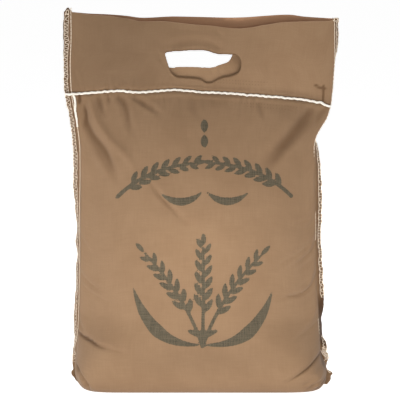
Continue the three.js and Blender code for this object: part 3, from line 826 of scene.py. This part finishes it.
printSettings = {
    "ears": [  # stem from foot to tip, where its grains start in millimetres, how many pairs, and their size
        {"stem": [(3, 58), (-16, 116), (-62, 164)], "from": 42, "step": 13.5, "pairs": 6, "size": (18, 6.4)},
        {"stem": [(3, 58), (4, 118), (4, 172)], "from": 40, "step": 13.5, "pairs": 6, "size": (18.5, 6.6)},
        {"stem": [(3, 58), (22, 116), (68, 160)], "from": 42, "step": 13.5, "pairs": 6, "size": (18, 6.4)},
        {"stem": [(-94, 226), (-62, 260), (-8, 266)], "from": 18, "step": 12.5, "pairs": 7, "size": (16, 6)},
        {"stem": [(104, 226), (72, 260), (18, 266)], "from": 18, "step": 12.5, "pairs": 7, "size": (16, 6)},
    ],
    "leaves": [
        {"route": [(-2, 60), (-58, 60), (-76, 124)], "widths": [2.5, 9, 15, 11, 1.5]},
        {"route": [(8, 60), (64, 58), (82, 118)], "widths": [2.5, 9, 15, 11, 1.5]},
        {"route": [(-44, 232), (-20, 214), (2, 234)], "widths": [1.5, 7, 9, 7, 1.5]},
        {"route": [(54, 232), (30, 214), (8, 234)], "widths": [1.5, 7, 9, 7, 1.5]},
    ],
    "stemWidths": [4.4, 3.8, 3.0],
    "spread": 30,  # degrees between a grain and its stem
    "tie": {"route": [(-12, 76), (3, 68), (18, 76)], "widths": [4, 9, 4]},
    "dots": [(5, 290), (5, 307)],
    "dotSize": (15, 8.5),
}


# The grains of one ear, as (place, angle, length, width): pairs, a little higher on one side, then the tip's
def earGrains(ear, path, spread):
    steps = np.concatenate([[0], np.linalg.norm(np.diff(path, axis=0), axis=1).cumsum()])
    length, width = ear["size"]

    def at(distance):
        return np.array([np.interp(distance, steps, path[:, k]) for k in (0, 1)])

    for k in range(ear["pairs"]):
        for side in (-1, 1):
            along = ear["from"] + (k + 0.22 * side) * ear["step"]
            foot = at(along)
            angle = math.atan2(*(at(along + 4) - foot)[::-1]) + side * math.radians(spread)
            size = 1 - 0.22 * (k / (ear["pairs"] - 1)) ** 2
            reach = 0.5 * length * size + 2.6
            place = foot + reach * np.array([math.cos(angle), math.sin(angle)])
            yield place, angle, length * size, width * size
    tip = path[-1] - path[-8]
    angle = math.atan2(*tip[::-1])
    yield path[-1] + 0.5 * length * tip / np.linalg.norm(tip), angle, length * 0.85, width * 0.85


def printDistance(x, z):
    s = printSettings
    best = np.full(np.shape(x), 99.0)
    for ear in s["ears"]:
        stem, path = strokeShape(x, z, ear["stem"], s["stemWidths"])
        best = np.minimum(best, stem)
        for place, angle, length, width in earGrains(ear, path, s["spread"]):
            best = np.minimum(best, grainShape(x, z, place, math.degrees(angle), length, width))
    for leaf in s["leaves"] + [s["tie"]]:
        best = np.minimum(best, strokeShape(x, z, leaf["route"], leaf["widths"])[0])
    for place in s["dots"]:
        best = np.minimum(best, grainShape(x, z, place, 90, *s["dotSize"]))
    return best


# Painted light and shade, from -1 for darker to 1 for paler: the header darker at the left and paler at the
# right as the light falls on it, darker under the twine at the right, and the body paler in the middle and
# darker low in the middle
def paintedLightAndShade(x, z, fromTwine):
    header = smooth(2, 12, fromTwine)
    tone = header * (0.5 * bell((x - 112) / 62) - 0.95 * bell((x + 92) / 68))
    tone = tone - 0.75 * (1 - header) * bell((x - 116) / 34) * bell((fromTwine + 16) / 26)
    return tone + 0.5 * bell(x / 60) * bell((z - 178) / 50) - 0.6 * bell(x / 90) * bell((z - 46) / 22)


pointFields = ("hollow", "cutEdge", "ink", "tone", "fromTwine")
farOff = 50.0  # further from an edge, the print or the twine than the material looks


# Builds the sack as one closed surface with its own places for the weave
def buildSack(g):
    wing = g["allowanceColumns"]
    across = columnPlaces(g)
    count = len(across)
    edgeShare = np.linspace(0, 1, g["allowanceColumns"] + 1)
    t = np.linspace(0, 1, g["bodyRows"] + 1)
    up = mix(t, (1 - np.cos(math.pi * t)) / 2, 0.45)
    slit = g["bodyRows"] + g["rowsBelow"]
    holeFrom, holeTo = g["columnsBeside"], g["columnsBeside"] + g["columnsAcross"]
    seams = np.array([-1.0, 1.0])
    chunks, index, total = [], {}, 0
    values = {key: [] for key in (*pointFields, "place")}

    def addGrid(name, points, **fields):
        nonlocal total
        rows, columns = points.shape[:2]
        alongRow = np.linalg.norm(np.diff(points, axis=1), axis=2).cumsum(axis=1)
        alongRow = np.concatenate([np.zeros((rows, 1)), alongRow], axis=1)
        alongRow -= alongRow[:, [columns // 2]]
        alongColumn = np.linalg.norm(np.diff(points, axis=0), axis=2).cumsum(axis=0)
        alongColumn = np.concatenate([np.zeros((1, columns)), alongColumn], axis=0)
        index[name] = np.arange(total, total + rows * columns).reshape(rows, columns)
        total += rows * columns
        chunks.append(points.reshape(-1, 3))
        values["place"].append(np.stack([alongRow, alongColumn], axis=2).reshape(-1, 2))
        for key, field in fields.items():
            values[key].append(np.broadcast_to(field, (rows, columns)).reshape(-1))

    for side in ("front", "back"):
        body, relief = bodySurface(side, across[None, :], up[:, None])
        heights = headerHeights(side, across[None, :], g)
        outer = headerSurface(side, across[None, :], heights, 1.0)
        inner = headerSurface(side, across[None, :], heights, -1.0)
        face = np.concatenate([body[:-1], outer])
        headerShade = foldShade(headerFolds[side], outer[..., 0], outer[..., 2])
        # painted shade: the deeper the cloth lies in a fold, the darker it is painted
        hollow = np.clip(np.concatenate([-relief[:-1], -headerShade]) / 6.0, 0, 1.35)
        rowHeight = face[:, [0, -1], 2]
        low, high = closureLine(seams), topEdge[side](seams)
        rise = sackSizes["headerHeight"] * (rowHeight[g["bodyRows"]:] - low) / (high - low)
        height = np.concatenate([np.repeat(up[:-1, None] * sackSizes["closureHeight"], 2, axis=1),
                                 sackSizes["closureHeight"] + rise])
        wings = []
        for k, edge in enumerate(("left", "right")):
            h = height[:, [k]]
            out = edgeShare[None, 1:] * allowanceWidth(edge, h)
            off = -outward[side] * sackSizes["cloth"]
            wings.append(allowancePoint(edge, h, rowHeight[:, [k]], out, off))
        full = np.concatenate([wings[0][:, ::-1], face, wings[1]], axis=1)
        full[0, :, 2] = 0.0
        toTop = topEdge[side](across)[None, :] - face[..., 2]
        headerRow = np.arange(full.shape[0])[:, None] >= g["bodyRows"]
        fromSlit = np.minimum(*(np.abs(face[..., 2] - face[[row], :, 2]) for row in (slit, slit + 1)))
        inHole = (np.arange(count) > holeFrom) & (np.arange(count) < holeTo)
        cutEdge = np.where(headerRow, toTop, farOff)
        # painted shade along the hand hole's edges, where one panel shades the other
        hollow = np.maximum(hollow, np.where(inHole[None, :] & headerRow, 1.5 - fromSlit / 1.1, 0.0))
        onBothSides = ((0, 0), (wing, wing))
        cutEdge = np.pad(cutEdge, onBothSides, constant_values=farOff)
        hollow = np.pad(hollow, onBothSides)
        # painted shade on the allowances: under their stitches, a little at the ears, and deep on the right
        # one where it turns away
        earShade = 0.12 * (1 - smooth(30, 52, height))
        stitchShade = (0.4 + 0.6 * smooth(0.25, 0.5, edgeShare[1:]))[None, :] * smooth(20, 52, height[:, [0]])
        behind = smooth(44, 52, height[:, [1]]) * (1 - smooth(92, 118, height[:, [1]]))
        hollow[:, :wing] = np.maximum(stitchShade[:, ::-1], earShade[:, [0]])
        hollow[:, -wing:] = np.maximum(stitchShade, earShade[:, [1]]) + 1.3 * behind
        ink = printDistance(full[..., 0], full[..., 2]) if side == "front" else farOff
        fromTwine = np.pad(face[..., 2] - closureLine(across), onBothSides, mode="edge")
        tone = paintedLightAndShade(full[..., 0], full[..., 2], fromTwine)
        # painted shade on the right allowance where it turns away
        tone[:, -wing:] -= 1.6 * behind
        addGrid("outer " + side, full, hollow=hollow, cutEdge=cutEdge, ink=ink, tone=tone,
                fromTwine=fromTwine)
        # the inner face is painted paler as painted light, more so near the top, and the back one has painted
        # shade under the front one's top edge
        pocketLight = 1.3 + 1.1 * smooth(400, 412, inner[..., 2])
        underEdge = inner[..., 2] - topEdge["front"](across)[None, :]
        shade = 1.15 * bell((underEdge + 0.9) / 1.3) if side == "back" else 0.0
        addGrid("inner " + side, inner, hollow=shade, cutEdge=farOff, ink=farOff, tone=pocketLight,
                fromTwine=farOff)
    points = np.concatenate(chunks) * mm

    # The pocket's two faces meet along the twine and both seams; outside the hole its two edges are one row
    innerFront, innerBack = index["inner front"], index["inner back"]
    for edge in ((0, slice(None)), (slice(None), 0), (slice(None), -1)):
        points[innerFront[edge], 1] = 0.0
        innerBack[edge] = innerFront[edge]
    for name, offset, low in (("outer front", wing, slit), ("outer back", wing, slit),
                              ("inner front", 0, g["rowsBelow"]), ("inner back", 0, g["rowsBelow"])):
        grid = index[name]
        columns = np.arange(grid.shape[1])
        outside = (columns <= holeFrom + offset) | (columns >= holeTo + offset)
        grid[low + 1, outside] = grid[low, outside]

    faces = []

    def addFaces(a, b, c, d):
        quads = np.stack([a, b, c, d], axis=-1).reshape(-1, 4)
        faces.extend(quads.tolist())

    def addSheet(name, skip, turned):
        grid = index[name]
        rows = [r for r in range(grid.shape[0] - 1) if r != skip]
        a, b = grid[rows][:, :-1], grid[rows][:, 1:]
        up1 = grid[[r + 1 for r in rows]]
        corners = (a, b, up1[:, 1:], up1[:, :-1])
        addFaces(*(corners[::-1] if turned else corners))

    addSheet("outer front", slit, False)
    addSheet("outer back", slit, True)
    addSheet("inner front", g["rowsBelow"], True)
    addSheet("inner back", g["rowsBelow"], False)
    front, back = index["outer front"], index["outer back"]

    def addStrip(a, b):
        addFaces(a[:-1], b[:-1], b[1:], a[1:])

    addStrip(front[0], back[0])
    addStrip(back[:, 0], front[:, 0])
    addStrip(front[:, -1], back[:, -1])
    inward = slice(wing, wing + count)
    addStrip(innerFront[-1], front[-1, inward])
    addStrip(back[-1, inward], innerBack[-1])
    holeColumns = slice(holeFrom, holeTo + 1)
    outerHole = slice(wing + holeFrom, wing + holeTo + 1)
    addStrip(innerFront[g["rowsBelow"], holeColumns], front[slit, outerHole])
    addStrip(front[slit + 1, outerHole], innerFront[g["rowsBelow"] + 1, holeColumns])
    addStrip(back[slit, outerHole], innerBack[g["rowsBelow"], holeColumns])
    addStrip(innerBack[g["rowsBelow"] + 1, holeColumns], back[slit + 1, outerHole])
    # The top end of each allowance; the face next to the seam also takes in the pocket's corner
    for columns, atSeam, corner, end in ((range(wing), wing - 1, 2, 0),
                                         (range(-1 - wing, -1), -1 - wing, 4, -1)):
        for c in columns:
            quad = [front[-1, c], front[-1, c + 1], back[-1, c + 1], back[-1, c]]
            if c == atSeam:
                quad.insert(corner, innerFront[-1, end])
            faces.append([int(v) for v in quad])

    mesh = bpy.data.meshes.new("sack_cloth")
    mesh.from_pydata(points.tolist(), [], faces)
    mesh.update()
    place = np.concatenate(values["place"]) * mm
    corners = np.zeros(len(mesh.loops), np.int32)
    mesh.loops.foreach_get("vertex_index", corners)
    layer = mesh.uv_layers.new(name="clothPlace")
    layer.data.foreach_set("uv", place[corners].astype(np.float32).ravel())
    for key in pointFields:
        attribute = mesh.attributes.new(key, "FLOAT", "POINT")
        attribute.data.foreach_set("value", np.concatenate(values[key]).astype(np.float32))
    return mesh


def addPiece(name, mesh, material, smoothAngle=None):
    piece = bpy.data.objects.new(name, mesh)
    bpy.context.scene.collection.objects.link(piece)
    mesh.materials.append(material)
    mesh.shade_smooth()
    if smoothAngle:
        mesh.set_sharp_from_angle(angle=math.radians(smoothAngle))
    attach(piece, "root")
    return piece


def removeLoose(mesh):
    work = bmesh.new()
    work.from_mesh(mesh)
    loose = [v for v in work.verts if not v.link_faces]
    bmesh.ops.delete(work, geom=loose, context="VERTS")
    work.normal_update()
    work.to_mesh(mesh)
    work.free()


sackMesh = buildSack(clothGrid)
removeLoose(sackMesh)
sack = addPiece("sack_cloth", sackMesh, sackCloth, smoothAngle=55)
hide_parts("sack")
print("sack built,", len(sackMesh.polygons), "faces")


# Threads: tubes along routes, joined into one piece

def tubeMesh(name, strands, sides=6):
    points, faces = [], []
    ringAngles = np.arange(sides) * 2 * math.pi / sides
    for route, radius in strands:
        route = np.asarray(route, float)
        radius = np.broadcast_to(radius, len(route))
        tangent = np.gradient(route, axis=0)
        tangent /= np.maximum(np.linalg.norm(tangent, axis=1, keepdims=True), 1e-9)
        normal = np.zeros_like(route)
        first = np.cross(tangent[0], [0.3, 1.0, 0.2])
        normal[0] = first / np.linalg.norm(first)
        for i in range(1, len(route)):
            n = normal[i - 1] - tangent[i] * np.dot(normal[i - 1], tangent[i])
            normal[i] = n / max(np.linalg.norm(n), 1e-9)
        other = np.cross(tangent, normal)
        rings = (route[:, None, :] + radius[:, None, None]
                 * (np.cos(ringAngles)[None, :, None] * normal[:, None, :]
                    + np.sin(ringAngles)[None, :, None] * other[:, None, :]))
        start = len(points)
        points.extend((rings.reshape(-1, 3) * mm).tolist())
        for i in range(len(route) - 1):
            for k in range(sides):
                a, b = start + i * sides + k, start + i * sides + (k + 1) % sides
                faces.append([a, b, b + sides, a + sides])
        faces.append([start + k for k in range(sides)][::-1])
        last = start + (len(route) - 1) * sides
        faces.append([last + k for k in range(sides)])
    mesh = bpy.data.meshes.new(name)
    mesh.from_pydata(points, [], faces)
    mesh.update()
    return mesh


def seamHeightToZ(edge, height):
    across = np.array([-1.0 if edge == "left" else 1.0])
    low, high = closureLine(across)[0], topEdge["back"](across)[0]
    closure, header = sackSizes["closureHeight"], sackSizes["headerHeight"]
    return np.where(height <= closure, height / closure * low, mix(low, high, (height - closure) / header))


overlockSettings = {
    "left": {"pitch": 4.2, "band": 4.3, "radius": 0.32, "steep": 0.5, "heights": (27.0, 433.0)},
    "right": {"pitch": 7.0, "band": 3.7, "radius": 0.38, "steep": 0.16, "heights": (31.0, 434.0)},
    "inset": 0.1,
    "turnedAway": (52.0, 66.0, 96.0, 116.0),  # heights between which the right edge shows no stitches
}


# 1 where the right allowance is turned away from the front, 0 elsewhere
def turnedAway(edge, height):
    a, b, c, d = overlockSettings["turnedAway"]
    return smooth(a, b, height) * (1 - smooth(c, d, height)) * (edge == "right")


# The overlock: on each face a thread goes from the needle line out to the cloth's edge and back for every
# stitch, slanted at the left seam and like a ladder at the right one. One more thread runs along the cloth's
# edge, and one along the needle line.
def overlockStrands(edge, s, inset):
    start, end = s["heights"]
    t = np.arange(0, int((end - start) / s["pitch"]), 1 / 14)
    height = start + t * s["pitch"]
    cloth, radius = sackSizes["cloth"], s["radius"]
    inset = inset + (1.5 * smooth(372, 402, height) if edge == "left" else 0)
    width = allowanceWidth(edge, height) - inset - s["band"]
    low = 1 - smooth(38, 56, height)
    facing = 1 - 2 * turnedAway(edge, height)
    strands = []
    for face, seed in ((1.0, 71), (-1.0, 75)):
        jitter = ripple(t, 0.9, seed)
        slant = ripple(t, 1.4, seed + 1)
        swing = smooth(0.5 - s["steep"], 0.5 + s["steep"], 1 - np.abs(2 * (t % 1.0) - 1))
        out = width + swing * s["band"] * (1 + (0.2 + 0.3 * low) * jitter) + (1 - swing) * 0.8 * slant
        along = height + s["pitch"] * (0.22 + 0.4 * low) * slant
        lift = face * (cloth + radius * (0.9 + 0.5 * jitter**2))
        if face > 0:
            lift = np.sign(facing) * lift
        strands.append((allowancePoint(edge, height, seamHeightToZ(edge, along), out, lift), radius))
    z = seamHeightToZ(edge, height)
    outer = width + s["band"] + 0.35 * np.cos(2 * math.pi * t) + 0.4 * ripple(t, 1.2, 78)
    strands.append((allowancePoint(edge, height, z, outer, facing * (cloth + radius)), radius * 0.9))
    dip = cloth + radius * (0.6 - 0.9 * np.abs(np.cos(math.pi * t)) ** 6)
    needle = width + 0.5 * ripple(t, 1.3, 79)
    strands.append((allowancePoint(edge, height, z, needle, facing * dip), radius * 0.85))
    return strands


# Loose ends of sewing thread along both edges, the loop at the top left corner, the single threads at the
# right ear and the top right corner, and the close row of stitches that crosses the right ear
looseSettings = {
    "count": 16,
    "radius": 0.2,
    "length": (2.5, 6.0),
    "heights": (50, 425),
    "rise": 3,
    "curl": 1.2,
    "seed": 17,
    "loopRadius": 0.42,
    "threadRadius": 0.45,
    "threads": [
        [(140.5, -5.5, 42), (142.5, -5.8, 37.5), (145.5, -4.6, 34), (148.2, -3.0, 32), (149, -1.5, 30)],
        [(147.5, -2.8, 19), (149.5, -3.2, 16), (151.5, -2.8, 14), (153.2, -1.6, 16)],
        [(151, -1.4, 423.5), (152.4, -2.0, 427), (155.2, -0.6, 426.4), (156.6, 2, 423.6),
         (154.4, 0.4, 421.5)],
        [(151.4, -1.9, 425.4), (153.6, -1.6, 423.6), (156.2, 0.8, 426.2), (155, 0, 427.4)],
    ],
    "closeRow": {"heights": (30, 50), "pitch": 2.7, "inner": 2.2, "band": 4.6, "radius": 0.32},
}


def looseStrands(edge, s):
    local = np.random.default_rng(s["seed"] + (edge == "right"))
    strands = []
    for height in local.uniform(*s["heights"], s["count"]):
        t = np.linspace(0, 1, 9)
        length, rise = local.uniform(*s["length"]), local.uniform(-s["rise"], s["rise"])
        curl = local.uniform(-s["curl"], s["curl"])
        out = allowanceWidth(edge, np.array([height]))[0] - 1.5 + length * t
        along = height + rise * t**1.5 + curl * np.sin(math.pi * t)
        z = seamHeightToZ(edge, along)
        route = allowancePoint(edge, height + 0 * t, z, out, 0.9 + curl * t)
        strands.append((route, s["radius"] * (1 - 0.4 * t)))
    if edge == "left":
        a = np.linspace(0.3, 5.6, 26)  # round the loop, in radians
        x, y, z = -151.2 + 2.1 * np.sin(a) + 0.5 * a, -1.6 - 0.25 * a, 433.4 - 2.7 * np.cos(a)
        strands.append((np.stack([x, y, z], axis=1), s["loopRadius"]))
    else:
        for thread in s["threads"]:
            points = np.array(thread, float)
            t = np.linspace(0, len(points) - 1, 24)
            route = np.stack([through(*enumerate(points[:, k]))(t) for k in range(3)], axis=1)
            strands.append((route, s["threadRadius"]))
        row = s["closeRow"]
        height = np.linspace(*row["heights"], 150)
        t = (height - row["heights"][0]) / row["pitch"]
        out = row["inner"] + row["band"] * (1 - np.abs(2 * (t % 1) - 1)) + 1.2 * ripple(t, 0.8, 83)
        z = seamHeightToZ(edge, height + 1.6 * ripple(t, 1.1, 84))
        strands.append((allowancePoint(edge, height, z, out, 1.5 + 0.4 * np.sin(2 * t)), row["radius"]))
    return strands


chainSettings = {
    "pitch": 4.4, "radius": 0.44, "place": 0.3, "from": 50.0, "to": {"left": 436.0, "right": 433.0},
    "shown": (174, 182, 212, 220, 290, 310),  # heights: the right chain comes up, goes down, comes up again
    "sink": 1.3,
}


# The sewn line inside the edge, one thread on each face; the right one is out of sight for much of its length
def chainStrands(edge, s):
    height = np.arange(s["from"], s["to"][edge], s["pitch"] / 10)
    t = (height - s["from"]) / s["pitch"]
    dip = np.abs(np.cos(math.pi * t)) ** 8
    cloth = sackSizes["cloth"]
    z = seamHeightToZ(edge, height)
    place = s["place"] + 0.75 * ripple(height, 31, 81)
    facing = 1 - 2 * turnedAway(edge, height)
    a, b, c, d, e, f = s["shown"]
    shown = smooth(a, b, height) * (1 - smooth(c, d, height)) + smooth(e, f, height)
    sunk = s["sink"] * (1 - shown) * (edge == "right")
    off = facing * (cloth + s["radius"] * (0.9 - 1.1 * dip) - sunk)
    front = allowancePoint(edge, height, z, place - sunk, off)
    back = allowancePoint(edge, height, z, place + 0.5 * np.sin(2 * math.pi * t), -cloth - s["radius"] * 0.6)
    return [(front, s["radius"] * (1 - 0.25 * dip)), (back, s["radius"] * 0.9)]


for edge in ("left", "right"):
    stitches = overlockStrands(edge, overlockSettings[edge], overlockSettings["inset"])
    stitches += looseStrands(edge, looseSettings)
    overlock = addPiece(f"overlock_stitches_{edge}", tubeMesh("overlock", stitches), seamThread)
    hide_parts(f"overlock_{edge}")
    stitches = chainStrands(edge, chainSettings)
    chain = addPiece(f"chain_stitches_{edge}", tubeMesh("chain", stitches), seamThread)
    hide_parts(f"chain_{edge}")
print("seams sewn")


twineSettings = {
    "pitch": 7.2,
    "plyRadius": 0.74,
    "plyTurn": 0.68,  # from the twine's middle to a ply's
    "twist": 6.4,
    "backRadius": 0.75,
    "overhang": 8.4,  # past the left seam
    "standOff": 1.9,
    "tailFoot": 303.5,
}


# Plies twisted round a route, thinner and more splayed where "thin" and "splay" say so
def pliedCord(route, s, count=3, thin=1.0, splay=0.0):
    route = np.asarray(route, float)
    steps = np.concatenate([[0], np.linalg.norm(np.diff(route, axis=0), axis=1).cumsum()])
    tangent = np.gradient(route, axis=0)
    tangent /= np.linalg.norm(tangent, axis=1, keepdims=True)
    sideways = np.cross(tangent, [0.0, 1.0, 0.0])
    sideways /= np.maximum(np.linalg.norm(sideways, axis=1, keepdims=True), 1e-9)
    other = np.cross(sideways, tangent)
    strands = []
    for k in range(count):
        angle = 2 * math.pi * (steps / s["twist"] + k / count)
        offset = np.cos(angle)[:, None] * sideways + np.sin(angle)[:, None] * other
        uneven = 1 + 0.12 * ripple(steps, 5, 93, 30 * k)
        away = s["plyTurn"] * thin * uneven * (1 + splay)
        strands.append((route + away[:, None] * offset, s["plyRadius"] * thin * uneven))
    return strands


def twineRoute(side, s):
    left, right = (seamX[edge](sackSizes["closureHeight"]) for edge in ("left", "right"))
    start = left - s["overhang"]
    x = np.arange(start, right + (0.6 if side == "front" else -1.0), 0.5)
    across = np.interp(x, [left, right], [-1, 1])
    t = (x - start) / s["pitch"]
    dip = np.abs(np.cos(math.pi * t)) ** 10
    z = closureLine(across) + 0.45 * ripple(x, 9, 91) + 0.25 * np.sin(2 * math.pi * t)
    kink = smooth(134, 138, x) - 1.8 * smooth(138, 143, x)
    lift = sackSizes["cloth"] + s["standOff"] - 0.55 * dip + 0.5 * smooth(-138, -146, x)
    return np.stack([x, outward[side] * lift, z + kink], axis=1), t


def tailRoute(t, s):
    z = mix(closureLine(np.array([-1.0]))[0] - 0.5, s["tailFoot"], t)
    x = through((0, -144.3), (0.1, -142.8), (0.3, -141.9), (0.5, -142.1), (0.75, -140.6), (1, -139.8))(t)
    y = -(3.4 + 1.0 * np.sin(math.pi * t) + 0.8 * t)
    return np.stack([x, y, z], axis=1)


# The twine's other face: a chain of loops, each drawn through the one before
def backLoops(s):
    route, t = twineRoute("back", s)
    swing = 2 * math.pi * np.linspace(0, 1, 26)
    ahead = 0.5 - 0.62 * np.cos(swing)
    y = sackSizes["cloth"] + 0.9 + 0.8 * smooth(0.75, 1.1, ahead)
    strands = []
    for k in range(int(t[-1])):
        x = np.interp(k + ahead, t, route[:, 0])
        z = np.interp(k + ahead, t, route[:, 2]) + 1.25 * np.sin(swing) * (1 - 0.35 * ahead)
        strands.append((np.stack([x, y + 0 * x, z], axis=1), s["backRadius"]))
    return strands


frontTwine = pliedCord(twineRoute("front", twineSettings)[0], twineSettings)
tailPlace = np.linspace(0, 1, 70)
tail = pliedCord(tailRoute(tailPlace, twineSettings), twineSettings,
                 thin=0.92 - 0.42 * smooth(0.62, 1, tailPlace), splay=1.1 * smooth(0.86, 1, tailPlace))
twineStrands = frontTwine + tail + backLoops(twineSettings)
twine = addPiece("closing_twine_cord", tubeMesh("twine", twineStrands), whiteTwine)
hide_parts("closing_twine")
print("twine sewn")


# Floor and light

studio = {
    "floorHalf": 14.0,
    "floorColour": (0.8, 0.8, 0.8, 1.0),
    "floorLight": 0.4,  # what the floor gives to the sack
    "floorWhite": 0.92,  # what the camera sees of it
    "sky": 0.08,
    "lamps": {  # place, aim, size and power
        "front": ((0.0, -0.42, 0.08), (0.0, 0.0, 0.1), (0.6, 0.12), 1.7),
        "top": ((0.0, -0.7, 1.5), (0.0, 0.0, 0.2), (1.2, 0.8), 8.4),
        "left": ((-0.9, -0.1, 0.2), (0.0, 0.0, 0.2), (0.5, 0.4), 3.7),
        "right": ((0.9, -0.1, 0.3), (0.0, 0.0, 0.3), (0.5, 0.4), 0.9),
        "upRight": ((0.8, -0.8, 0.7), (0.0, 0.0, 0.35), (0.4, 0.4), 1.7),
        "back": ((0.0, 1.3, 0.9), (0.0, 0.0, 0.15), (1.2, 0.8), 10.0),
    },
}


def makeFloor(s):
    mesh = bpy.data.meshes.new("floor")
    half = s["floorHalf"]
    corners = [(-half, -half, 0), (half, -half, 0), (half, half, 0), (-half, half, 0)]
    mesh.from_pydata(corners, [], [[0, 1, 2, 3]])
    floor = bpy.data.objects.new("floor", mesh)
    bpy.context.scene.collection.objects.link(floor)
    material, tree, shader = newMaterial("paleFloor", 0.9, specular=0.1)
    shader.inputs["Base Color"].default_value = s["floorColour"]
    shader.inputs["Emission Strength"].default_value = 1.0
    seen = addNode(tree, "ShaderNodeLightPath").outputs["Is Camera Ray"]
    glow = ramp(tree, seen, 0.0, 1.0, s["floorLight"], s["floorWhite"])
    tree.links.new(glow, shader.inputs["Emission Color"])
    mesh.materials.append(material)


def makeLamp(name, place, aim, size, power):
    data = bpy.data.lights.new(name, "AREA")
    data.shape = "RECTANGLE"
    data.size, data.size_y = size
    data.energy = power
    lamp = bpy.data.objects.new(name, data)
    lamp.location = place
    lamp.rotation_euler = (Vector(aim) - Vector(place)).to_track_quat("-Z", "Y").to_euler()
    bpy.context.scene.collection.objects.link(lamp)


def makeStudio(s):
    makeFloor(s)
    for name, lamp in s["lamps"].items():
        makeLamp(name, *lamp)
    world = bpy.data.worlds.new("studio")
    bpy.context.scene.world = world
    world.use_nodes = True
    world.node_tree.nodes["Background"].inputs["Color"].default_value = (1.0, 1.0, 1.0, 1.0)
    world.node_tree.nodes["Background"].inputs["Strength"].default_value = s["sky"]
    bpy.context.scene.view_settings.view_transform = "Standard"


makeStudio(studio)
print("studio lit")
